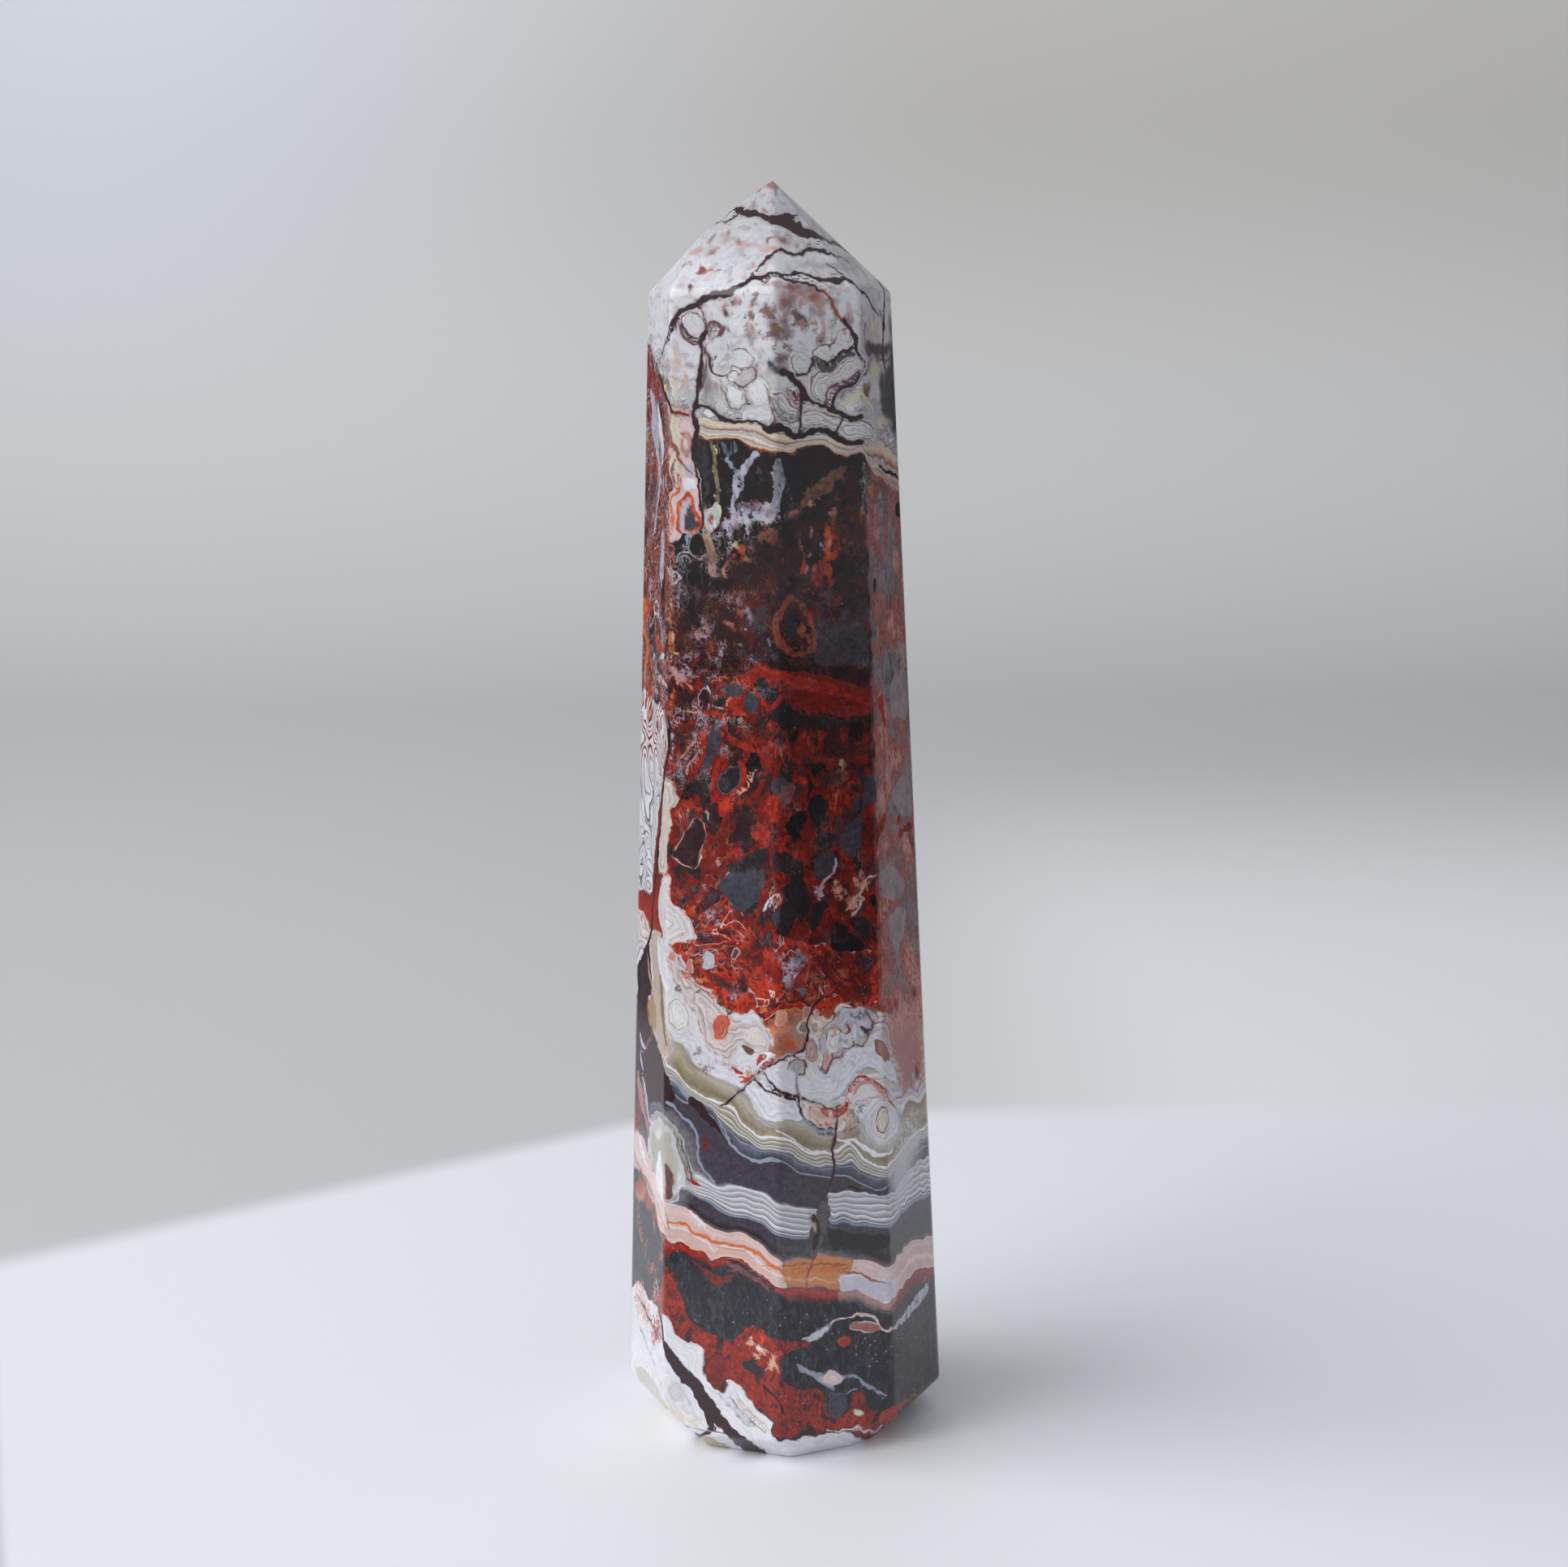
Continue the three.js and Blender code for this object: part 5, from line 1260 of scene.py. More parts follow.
def noise(tree, position, scale, detail=3.0, roughness=0.55, distortion=0.0):
    inputs = {"Vector": position, "Scale": scale, "Detail": detail, "Roughness": roughness}
    return put(tree, "ShaderNodeTexNoise", {**inputs, "Distortion": distortion}).outputs[0]


def stretched(tree, position, scale, turn=(0, 0, 0)):
    """The position turned and then scaled, to draw a pattern out along one direction."""
    inputs = {"Vector": position, "Scale": scale, "Rotation": turn}
    return put(tree, "ShaderNodeMapping", inputs).outputs[0]


def ramp(tree, value, stops):
    """A colour ramp. Each stop is a place and a palette colour, or two for a sharp change."""
    node = put(tree, "ShaderNodeValToRGB", {0: value})
    elements = node.color_ramp.elements
    while len(elements) > 1:
        elements.remove(elements[-1])
    for number, (place, shade) in enumerate(stops):
        element = elements[0] if number == 0 else elements.new(place)
        element.position = place
        element.color = (*linear(shade), 1)
    return node.outputs[0]


def new_group(name, inputs, outputs):
    """An empty shader node group with named sockets, and its two end nodes."""
    group = bpy.data.node_groups.new(name, "ShaderNodeTree")
    for label, kind, value in inputs:
        socket = group.interface.new_socket(label, in_out="INPUT", socket_type=kind)
        if value is not None:
            socket.default_value = value
    for label, kind in outputs:
        group.interface.new_socket(label, in_out="OUTPUT", socket_type=kind)
    return group, group.nodes.new("NodeGroupInput"), group.nodes.new("NodeGroupOutput")


def use(tree, group, **inputs):
    """Places a group in a material."""
    node = put(tree, "ShaderNodeGroup", node_tree=group)
    for label, value in inputs.items():
        if isinstance(value, bpy.types.NodeSocket):
            tree.links.new(value, node.inputs[label])
        else:
            node.inputs[label].default_value = value
    return node.outputs


NUMBER = "NodeSocketFloat"
ARROW = "NodeSocketVector"
COLOUR = "NodeSocketColor"

# %% Fine line group
fine_line, entry, result = new_group(
    "Fine Line",
    [("Arrow", ARROW, None), ("Depth", NUMBER, 0), ("Wander", NUMBER, 0), ("Softness", NUMBER, 0.03)],
    [("Mask", NUMBER)],
)
parts = put(fine_line, "ShaderNodeSeparateXYZ", {0: entry.outputs["Arrow"]}).outputs
flat_arrow = put(fine_line, "ShaderNodeCombineXYZ", {0: parts[0], 1: parts[1]}).outputs[0]
gap = put(fine_line, "ShaderNodeVectorMath", {0: flat_arrow}, operation="LENGTH").outputs["Value"]
inside = calc(fine_line, "SUBTRACT", calc(fine_line, "ADD", parts[2], entry.outputs["Wander"]), gap)
soft = entry.outputs["Softness"]
line = smooth(fine_line, inside, calc(fine_line, "MULTIPLY", soft, -1.0), soft)
near_line = smooth(fine_line, entry.outputs["Depth"], -0.3, -0.2)
fine_line.links.new(calc(fine_line, "MULTIPLY", line, near_line), result.inputs["Mask"])

# %% Growth ring group
growth_rings, entry, result = new_group(
    "Growth Rings",
    [("Depth", NUMBER, 0), ("Position", ARROW, None), ("Rings per mm", NUMBER, 2.0)],
    [("Tone", NUMBER)],
)
wobble = noise(growth_rings, entry.outputs["Position"], 0.5, 2)
turns = calc(growth_rings, "MULTIPLY_ADD", entry.outputs["Depth"], entry.outputs["Rings per mm"], wobble)
place = calc(growth_rings, "FRACT", turns)
tones = put(growth_rings, "ShaderNodeValToRGB", {0: place})
RING_TONES = [(0, 0.3), (0.07, 0.95), (0.22, 0.75), (0.3, 0.45), (0.36, 0.85), (0.55, 0.6), (0.62, 0.25),
              (0.68, 0.9), (0.84, 0.7), (0.92, 0.5), (1.0, 0.3)]
for number, (stop, tone) in enumerate(RING_TONES):
    element = tones.color_ramp.elements[number] if number < 2 else tones.color_ramp.elements.new(stop)
    element.position = stop
    element.color = (tone, tone, tone, 1)
growth_rings.links.new(tones.outputs[0], result.inputs["Tone"])

# %% Filament group
filaments, entry, result = new_group(
    "Filaments", [("Position", ARROW, None), ("Scale", NUMBER, 0.8), ("Thickness", NUMBER, 0.012)], [("Mask", NUMBER)]
)
tangle = noise(filaments, entry.outputs["Position"], entry.outputs["Scale"], 4, 0.6, 1.4)
ridge = calc(filaments, "ABSOLUTE", calc(filaments, "SUBTRACT", tangle, 0.5))
thickness = entry.outputs["Thickness"]
thread = smooth(filaments, ridge, thickness, calc(filaments, "MULTIPLY", thickness, 0.3))
filaments.links.new(thread, result.inputs["Mask"])

# %% Breccia group
breccia, entry, result = new_group(
    "Breccia", [("Position", ARROW, None)], [("Color", COLOUR)]
)
slant = stretched(breccia, entry.outputs["Position"], (0.62, 0.62, 0.34), (0, math.radians(24), 0))
bend = put(breccia, "ShaderNodeTexNoise", {"Vector": slant, "Scale": 1.2, "Detail": 3}).outputs["Color"]
bent = put(breccia, "ShaderNodeVectorMath", {0: bend, 1: (0.55, 0.55, 0.55), 2: slant}, operation="MULTIPLY_ADD")
cells = {"Vector": bent.outputs[0], "Scale": 1.0, "Randomness": 1.0}
wall = put(breccia, "ShaderNodeTexVoronoi", cells, feature="DISTANCE_TO_EDGE").outputs["Distance"]
cell = put(breccia, "ShaderNodeTexVoronoi", cells, feature="F1").outputs["Color"]
pick = put(breccia, "ShaderNodeSeparateColor", {0: cell}).outputs[0]
thick = noise(breccia, entry.outputs["Position"], 0.22, 2)
limit = calc(breccia, "MULTIPLY_ADD", thick, 0.5, -0.1)
matrix = smooth(breccia, calc(breccia, "SUBTRACT", limit, wall), -0.01, 0.02)
chips = ramp(breccia, pick, [(0, "soot"), (0.25, "vein"), (0.5, "maroon"), (0.72, "slate"), (0.9, "ink")])
cement = ramp(
    breccia,
    noise(breccia, entry.outputs["Position"], 0.9, 5),
    [(0.3, "vein"), (0.4, "maroon"), (0.48, "brick"), (0.56, "ember"), (0.62, "brick"), (0.7, "red"), (0.8, "flame")],
)
broken = over(breccia, matrix, chips, cement)
leaning = stretched(breccia, entry.outputs["Position"], (1, 1, 0.5), (0, math.radians(-28), 0))
strands = use(breccia, filaments, Position=leaning, Scale=0.55, Thickness=0.03)["Mask"]
hairs = use(breccia, filaments, Position=leaning, Scale=1.3, Thickness=0.025)["Mask"]
strands = calc(breccia, "MAXIMUM", strands, calc(breccia, "MULTIPLY", hairs, 0.6))
busy = smooth(breccia, noise(breccia, entry.outputs["Position"], 0.3, 3), 0.4, 0.58, 0, 0.8)
strand_colour = ramp(
    breccia, noise(breccia, leaning, 0.7, 3), [(0.4, "ember"), (0.5, "red"), (0.58, "flame"), (0.68, "peach")]
)
broken = over(breccia, calc(breccia, "MULTIPLY", strands, busy), broken, strand_colour)
breccia.links.new(broken, result.inputs["Color"])

# %% Jasper group
jasper, entry, result = new_group("Jasper", [("Position", ARROW, None)], [("Color", COLOUR)])
jasper_spot = entry.outputs["Position"]
cloud = noise(jasper, jasper_spot, 0.26, 6, 0.62, 0.8)
base = ramp(
    jasper, cloud, [(0.3, "ink"), (0.45, "ink"), (0.5, "vein"), (0.58, "maroon"), (0.66, "brick"), (0.76, "red")]
)
ash = smooth(jasper, noise(jasper, jasper_spot, 0.4, 4, 0.5, 0.5), 0.57, 0.63, 0, 0.6)
base = over(jasper, ash, base, (*linear("slate"), 1))
threads = use(jasper, filaments, Position=jasper_spot, Scale=0.55, Thickness=0.03)["Mask"]
lively = smooth(jasper, noise(jasper, jasper_spot, 0.22, 2), 0.44, 0.6)
base = over(jasper, calc(jasper, "MULTIPLY", threads, lively), base, (*linear("brick"), 1))
jasper.links.new(base, result.inputs["Color"])

# %% Moss group
moss, entry, result = new_group("Moss", [("Position", ARROW, None)], [("Color", COLOUR)])
fluff = noise(moss, entry.outputs["Position"], 0.36, 3, 0.5, 0.9)
shade = noise(moss, entry.outputs["Position"], 0.5, 5, 0.6, 0.6)
body = ramp(
    moss,
    calc(moss, "MULTIPLY_ADD", fluff, 0.6, calc(moss, "MULTIPLY", shade, 0.4)),
    [(0.32, "mauve"), (0.37, "plum"), (0.42, "maroon"), (0.46, "brick"), (0.5, "red"), (0.52, "flame"), (0.535, "red"),
     (0.555, "maroon"), (0.58, "brick"), (0.62, "rust"), (0.66, "orange")],
)
shore = calc(moss, "ABSOLUTE", calc(moss, "SUBTRACT", fluff, 0.44))
shore_fine = calc(moss, "ABSOLUTE", calc(moss, "SUBTRACT", fluff, 0.57))
broken_rim = smooth(moss, noise(moss, entry.outputs["Position"], 0.5, 2), 0.46, 0.6, 0.08)
pale_rim = calc(moss, "MAXIMUM", smooth(moss, shore, 0.014, 0.004), smooth(moss, shore_fine, 0.01, 0.003, 0, 0.7))
pale_rim = calc(moss, "MULTIPLY", pale_rim, broken_rim)
moss.links.new(over(moss, pale_rim, body, (*linear("pink"), 1)), result.inputs["Color"])

# %% Upright streak group
streaks, entry, result = new_group("Streaks", [("Position", ARROW, None)], [("Color", COLOUR)])
drawn = stretched(streaks, entry.outputs["Position"], (1.0, 1.0, 0.42), (0, math.radians(4), 0))
drawn_noise = noise(streaks, drawn, 0.42, 5, 0.62, 1.3)
streak_colour = ramp(
    streaks,
    drawn_noise,
    [(0.3, "vein"), (0.38, "ink"), (0.42, "maroon"), (0.45, "brick"), (0.472, "rust"), (0.484, "maroon"),
     (0.5, "brick"), (0.512, "rust"), (0.522, "white"), (0.53, "maroon"), (0.55, "brick"), (0.572, "vein"),
     (0.59, "rust"), (0.603, "blush"), (0.612, "maroon"), (0.645, "brick"), (0.66, "lilac"), (0.68, "maroon")],
)
streaks.links.new(streak_colour, result.inputs["Color"])

# %% Lace group
lace, entry, result = new_group("Lace", [("Position", ARROW, None)], [("Color", COLOUR)])
wide_spot = stretched(lace, entry.outputs["Position"], (1, 1, 0.55))
swirl = noise(lace, wide_spot, 0.2, 2.2, 0.45, 0.9)
loops = calc(lace, "FRACT", calc(lace, "MULTIPLY", swirl, 8))
red_loops = ramp(
    lace, loops,
    [(0, "maroon"), (0.07, "brick"), (0.13, "blush"), (0.17, "snow"), (0.34, "white"), (0.37, "brick"), (0.44, "red"),
     (0.48, "snow"), (0.66, "white"), (0.69, "brick"), (0.77, "maroon"), (0.81, "pink"), (0.93, "snow"), (1.0, "brick")],
)
grey_loops = ramp(
    lace, loops,
    [(0, "smoke"), (0.07, "smoke"), (0.12, "snow"), (0.3, "white"), (0.34, "dusk"), (0.4, "snow"), (0.6, "pearl"),
     (0.64, "mauve"), (0.71, "snow"), (0.85, "white"), (0.88, "steel"), (0.95, "pearl")],
)
lace_height = put(lace, "ShaderNodeSeparateXYZ", {0: entry.outputs["Position"]}).outputs["Z"]
redder = smooth(lace, calc(lace, "MULTIPLY_ADD", swirl, 8, lace_height), 56, 60)
lace.links.new(over(lace, redder, grey_loops, red_loops), result.inputs["Color"])

# %% Agate material
agate = bpy.data.materials.new("polished_lace_agate")
agate.use_nodes = True
tree = agate.node_tree
tree.nodes.clear()
spot = put(tree, "ShaderNodeTexCoord").outputs["Object"]
position = put(tree, "ShaderNodeVectorMath", {0: spot, 1: (1 / MM,) * 3}, operation="MULTIPLY").outputs[0]


def stored(name, kind="Fac"):
    """A value that was kept on the mesh under this name."""
    return put(tree, "ShaderNodeAttribute", attribute_name=name).outputs[kind]


ragged = calc(tree, "MULTIPLY", calc(tree, "SUBTRACT", noise(tree, position, 2.2, 4, 0.6), 0.5), 0.3)
fine_ragged = calc(tree, "MULTIPLY", calc(tree, "SUBTRACT", noise(tree, position, 3.5, 3, 0.6), 0.5), 0.12)

# %% Zones and bands
BANDS = [
    [(0.2, "pearl"), (0.44, "white"), (0.86, "white"), (0.88, "dusk"), (0.89, "white"), (0.912, "pearl"), (0.935, "fog"),
     (0.94, "snow"), (0.955, "pearl"), (0.968, "smoke"), (0.973, "white"), (0.99, "pearl"), (1.0, "vein"), (1.06, "cream"), (1.22, "cream"), (1.34, "peach"), (1.42, "umber"),
     (1.5, "pearl"), (1.6, "sand"), (1.7, "white"), (1.78, "tan"), (1.86, "cream"), (1.93, "rust"), (1.99, "vein"),
     (2.02, "ink"), (2.7, "ink"), (3.0, "maroon"), (3.9, "maroon"), (4.0, "brick"), (5.0, "brick"), (5.95, "red")],
    [(5.95, "red"), (6.0, "rust"), (6.015, "cream"), (6.04, "pink"), (6.06, "blush"), (6.075, "white"), (6.12, "pink"),
     (6.14, "tan"), (6.155, "snow"), (6.2, "pearl"), (6.22, "blush"), (6.235, "white"), (6.29, "lilac"),
     (6.305, "tan"), (6.32, "snow"), (6.38, "pink"), (6.4, "tan"), (6.415, "white"), (6.47, "pearl"),
     (6.485, "snow"), (6.54, "lilac"), (6.56, "rust"), (6.575, "white"), (6.64, "pearl"), (6.66, "snow"),
     (6.7, "white"), (6.73, "olive"), (6.82, "khaki"), (6.95, "olive"), (7.0, "khaki")],
    [(7.0, "snow"), (7.06, "white"), (7.09, "sage"), (7.17, "olive"), (7.185, "snow"), (7.22, "sage"), (7.33, "olive"),
     (7.345, "white"), (7.38, "sage"), (7.46, "dusk"), (7.475, "snow"), (7.52, "fog"), (7.6, "smoke"), (7.62, "haze"),
     (7.65, "steel"), (7.9, "slate"), (7.93, "haze"), (7.96, "fog"), (8.0, "plum")],
    [(8.0, "plum"), (8.92, "plum"), (8.96, "dusk"), (9.0, "white"), (9.05, "pearl"), (9.15, "fog"), (9.17, "white"),
     (9.21, "pearl"), (9.33, "dusk"), (9.35, "snow"), (9.39, "pearl"), (9.5, "fog"), (9.52, "white"), (9.56, "pearl"),
     (9.67, "dusk"), (9.69, "snow"), (9.74, "pearl"), (9.82, "smoke"), (9.84, "white"), (9.88, "steel"),
     (9.93, "haze"), (9.96, "steel"), (10.0, "plum"), (10.5, "plum"), (10.8, "soot"), (10.96, "smoke"), (11.0, "mauve")],
    [(11.0, "mauve"), (11.03, "pink"), (11.1, "rose"), (11.2, "pink"), (11.3, "rose"), (11.5, "rose"), (11.58, "pink"),
     (11.62, "white"), (11.66, "rose"), (11.9, "rose"), (11.96, "pink"), (11.985, "peach"), (12.0, "brick"),
     (12.3, "red"), (12.6, "brick"), (12.95, "maroon"), (13.1, "soot"), (14, "soot")],
]
level = stored("level")
flutter = calc(tree, "SUBTRACT", noise(tree, position, 1.1, 4, 0.6), 0.5)
rough_bands = smooth(tree, level, 5.6, 5.95, 0.32, 0.03)
level_value = calc(tree, "MULTIPLY_ADD", flutter, rough_bands, level)
pearls = {"Vector": position, "Scale": 0.36, "Smoothness": 0.25}
scallop = put(tree, "ShaderNodeTexVoronoi", pearls, feature="SMOOTH_F1").outputs["Distance"]
scalloped = calc(tree, "MULTIPLY", smooth(tree, level, 5.9, 6.1), smooth(tree, level, 6.95, 6.6))
scalloped = calc(tree, "MULTIPLY", calc(tree, "SUBTRACT", scallop, 0.45), calc(tree, "MULTIPLY", scalloped, -0.3))
level_value = calc(tree, "ADD", level_value, scalloped)
ground_colour = None
for stops in BANDS:
    low, high = stops[0][0], stops[-1][0]
    along = calc(tree, "DIVIDE", calc(tree, "SUBTRACT", level_value, low), high - low)
    bands = ramp(tree, along, [((place - low) / (high - low), shade) for place, shade in stops])
    below = smooth(tree, level_value, low - 0.002, low + 0.002)
    ground_colour = over(tree, below, ground_colour, bands) if ground_colour else bands

# %% Grain over the zones
jasper_there = smooth(tree, calc(tree, "ADD", stored("jasper_share"), ragged), 0.3, 0.7)
ground_colour = over(tree, jasper_there, ground_colour, use(tree, jasper, Position=position)["Color"])
breccia_there = smooth(tree, calc(tree, "ADD", stored("breccia_share"), ragged), 0.42, 0.58)
ground_colour = over(tree, breccia_there, ground_colour, use(tree, breccia, Position=position)["Color"])
moss_there = smooth(tree, calc(tree, "ADD", stored("moss_share"), ragged), 0.45, 0.55)
ground_colour = over(tree, moss_there, ground_colour, use(tree, moss, Position=position)["Color"])
streaks_there = smooth(tree, calc(tree, "ADD", stored("streaks_share"), ragged), 0.45, 0.55)
ground_colour = over(tree, streaks_there, ground_colour, use(tree, streaks, Position=position)["Color"])
lace_there = smooth(tree, calc(tree, "ADD", stored("lace_share"), ragged), 0.4, 0.6)
ground_colour = over(tree, lace_there, ground_colour, use(tree, lace, Position=position)["Color"])
slate_there = smooth(tree, calc(tree, "ADD", stored("slate_share"), ragged), 0.45, 0.55)
felted = noise(tree, stretched(tree, position, (1, 1, 0.45), (0, math.radians(35), 0)), 2.4, 6, 0.72, 0.6)
felted = calc(tree, "MULTIPLY_ADD", felted, 0.75, calc(tree, "MULTIPLY", noise(tree, position, 0.5, 4), 0.25))
dark_slate = ramp(
    tree, felted, [(0.4, "ink"), (0.47, "night"), (0.52, "soot"), (0.56, "slate"), (0.6, "night"), (0.66, "steel")]
)
below_rim = calc(
    tree, "MAXIMUM", smooth(tree, level_value, 12.4, 13.0), smooth(tree, stored("slate_share"), 1.2, 1.6)
)
ground_colour = over(tree, calc(tree, "MULTIPLY", slate_there, below_rim), ground_colour, dark_slate)

matrix_noise = noise(tree, stretched(tree, position, (1, 1, 0.7), (0, math.radians(-40), 0)), 0.9, 6, 0.68, 0.5)
matrix_colour = ramp(
    tree,
    matrix_noise,
    [(0.3, "ink"), (0.35, "vein"), (0.4, "maroon"), (0.44, "brick"), (0.5, "red"), (0.56, "brick"), (0.6, "ember"),
     (0.64, "brick"), (0.68, "rust"), (0.72, "red"), (0.76, "peach")],
)
matrix_there = smooth(tree, calc(tree, "ADD", stored("matrix_share"), ragged), 0.42, 0.58)
ground_colour = over(tree, matrix_there, ground_colour, matrix_colour)

# %% Patches and strokes
def ringed(colour, name, strength, per_mm):
    """Light and dark growth rings that follow a patch's outline. The dark ones take the rim's colour."""
    tone = use(tree, growth_rings, Depth=stored(f"{name}_depth"), Position=position, **{"Rings per mm": per_mm})["Tone"]
    lighter = over(tree, calc(tree, "MULTIPLY", strength, 0.6), colour, (0.9, 0.88, 0.9, 1))
    tinted = over(tree, 0.35, stored(f"{name}_rim", "Color"), (0.12, 0.07, 0.07, 1))
    darker = over(tree, calc(tree, "MULTIPLY", strength, 0.95, clamp=True), colour, tinted)
    return over(tree, tone, darker, lighter)


rim_break = noise(tree, position, 0.7, 3)
calm = calc(tree, "ADD", smooth(tree, level, 1.6, 2.2, 1, 0), smooth(tree, level, 6.0, 6.2))
calm = calc(tree, "SUBTRACT", calm, smooth(tree, level, 12.9, 13.1), clamp=True)


def lay_patches(colour, name, wander, per_mm, soften=0.025):
    """Lays one layer of patches over the colour so far."""
    depth = calc(tree, "ADD", stored(f"{name}_depth"), wander)
    rings = stored(f"{name}_rings")
    fill = ringed(stored(f"{name}_colour", "Color"), name, rings, per_mm)
    close_by = calc(tree, "MULTIPLY", smooth(tree, depth, -1.3, -0.1, 0, 0.9), calm)
    colour = ringed(colour, name, calc(tree, "MULTIPLY", rings, close_by), per_mm * 1.3)
    on_rim = calc(tree, "MULTIPLY", smooth(tree, depth, 0.14, 0.06), smooth(tree, rim_break, 0.4, 0.55, 0.1, 1))
    fill = over(tree, on_rim, fill, stored(f"{name}_rim", "Color"))
    return over(tree, smooth(tree, depth, -soften, soften), colour, fill)


def lay_strokes(colour, name, wander, soften=0.03, faded=None):
    """Lays one layer of strokes over the colour so far. Faded strokes let it show through here and there."""
    arrow = stored(f"{name}_arrow", "Vector")
    mask = use(tree, fine_line, Arrow=arrow, Depth=stored(f"{name}_depth"), Wander=wander, Softness=soften)["Mask"]
    if faded:
        kept = smooth(tree, noise(tree, position, 1.5, 4, 0.65), 0.34, 0.56, calc(tree, "SUBTRACT", 1, faded), 1)
        mask = calc(tree, "MULTIPLY", mask, kept)
    return over(tree, mask, colour, stored(f"{name}_colour", "Color"))


# The pale mottled wash on the right-hand side: a duller polish there, and a painted reflection that pales it.
scratched = noise(tree, stretched(tree, position, (1, 1, 0.16), (math.radians(5), 0, 0)), 1.3, 6, 0.7, 0.3)
clouded = noise(tree, position, 0.28, 4, 0.6, 0.6)
scratched = calc(tree, "MULTIPLY_ADD", clouded, 0.55, calc(tree, "MULTIPLY", scratched, 0.45))
haze_and_reflection_colour = ramp(
    tree,
    scratched,
    [(0.36, "smoke"), (0.42, "dusk"), (0.46, "ash"), (0.475, "smoke"), (0.487, "veil"), (0.508, "mauve"),
     (0.52, "veil"), (0.545, "rust"), (0.555, "red"), (0.566, "veil"), (0.6, "blush"), (0.63, "ash"), (0.67, "fog")],
)
hazed_and_reflecting = over(tree, calc(tree, "MULTIPLY", stored("haze_share"), 1.05, clamp=True), ground_colour, haze_and_reflection_colour)
calm_wander = put(tree, "ShaderNodeMix", {0: calm, 2: ragged, 3: calc(tree, "MULTIPLY", fine_ragged, 0.5)}).outputs[0]
painted = lay_patches(hazed_and_reflecting, "large", calm_wander, 0.8)
in_bands = calc(tree, "MULTIPLY", smooth(tree, stored("level"), 6.9, 7.1), smooth(tree, stored("level"), 11.9, 11.6))
patchy = calc(tree, "SUBTRACT", noise(tree, position, 1.3, 5, 0.65), 0.5)
patchy = calc(tree, "MULTIPLY", patchy, calc(tree, "MULTIPLY_ADD", in_bands, -1.0, 1.1))
soft_mask = smooth(tree, calc(tree, "ADD", stored("soft_amount"), patchy), 0.1, 0.85)
flecked = calc(tree, "MULTIPLY", calc(tree, "SUBTRACT", noise(tree, position, 2.6, 6, 0.72, 0.4), 0.52), 3.0)
crisp_mask = smooth(tree, calc(tree, "ADD", stored("soft_amount"), flecked), 0.35, 0.8)
dark_zone = smooth(tree, stored("level"), 1.6, 2.0)
dark_zone = calc(tree, "MULTIPLY", dark_zone, calc(tree, "SUBTRACT", 1, in_bands))
# Less crisp airbrushing where the painted reflection wash lies.
in_haze_and_reflection = calc(tree, "MULTIPLY", stored("haze_share"), 0.5)
dark_zone = calc(tree, "SUBTRACT", dark_zone, in_haze_and_reflection)
soft_mask = put(tree, "ShaderNodeMix", {0: dark_zone, 2: soft_mask, 3: crisp_mask}).outputs[0]
soft_mask = calc(tree, "MULTIPLY", soft_mask, smooth(tree, stored("soft_amount"), 0.02, 0.2))
painted = over(tree, soft_mask, painted, stored("soft_colour", "Color"))
faded = calc(tree, "MULTIPLY_ADD", calm, -0.5, 0.6)
painted = lay_strokes(painted, "pale", calm_wander, 0.05, faded)
painted = lay_patches(painted, "small", fine_ragged, 1.3)
fibre = calc(
    tree,
    "MAXIMUM",
    use(tree, filaments, Position=position, Scale=1.1, Thickness=0.016)["Mask"],
    use(tree, filaments, Position=stretched(tree, position, (1, 1, 0.4)), Scale=2.0, Thickness=0.018)["Mask"],
)
fibre_ground = smooth(tree, noise(tree, position, 0.5, 3), 0.42, 0.58)
fibre_share = calc(tree, "MULTIPLY", fibre, calc(tree, "MULTIPLY", fibre_ground, stored("fibre_share")))
fibre_colour = ramp(
    tree, noise(tree, position, 0.6, 3), [(0.34, "brick"), (0.42, "rust"), (0.47, "umber"), (0.52, "blush"), (0.57, "lilac"), (0.66, "white")]
)
painted = over(tree, fibre_share, painted, fibre_colour)
freckle = smooth(tree, noise(tree, position, 1.25, 5, 0.62), 0.5, 0.6, 0, 0.85)
freckle_colour = ramp(tree, noise(tree, position, 0.4, 2), [(0.36, "dusk"), (0.44, "fog"), (0.5, "blush"), (0.55, "mauve"), (0.6, "umber"), (0.66, "rust")])
painted = over(tree, calc(tree, "MULTIPLY", freckle, stored("freckle_share")), painted, freckle_colour)
swell = calc(tree, "SUBTRACT", noise(tree, position, 0.9, 3), 0.5)
swell = calc(tree, "MULTIPLY_ADD", swell, 0.14, fine_ragged)
around = {"Depth": stored("dark_depth"), "Wander": calc(tree, "ADD", swell, 0.07), "Softness": 0.16}
halo = use(tree, fine_line, Arrow=stored("dark_arrow", "Vector"), **around)["Mask"]
painted = over(tree, calc(tree, "MULTIPLY", halo, calc(tree, "MULTIPLY", calm, 0.4)), painted, (*linear("mauve"), 1))
painted = lay_strokes(painted, "dark", swell, 0.045)

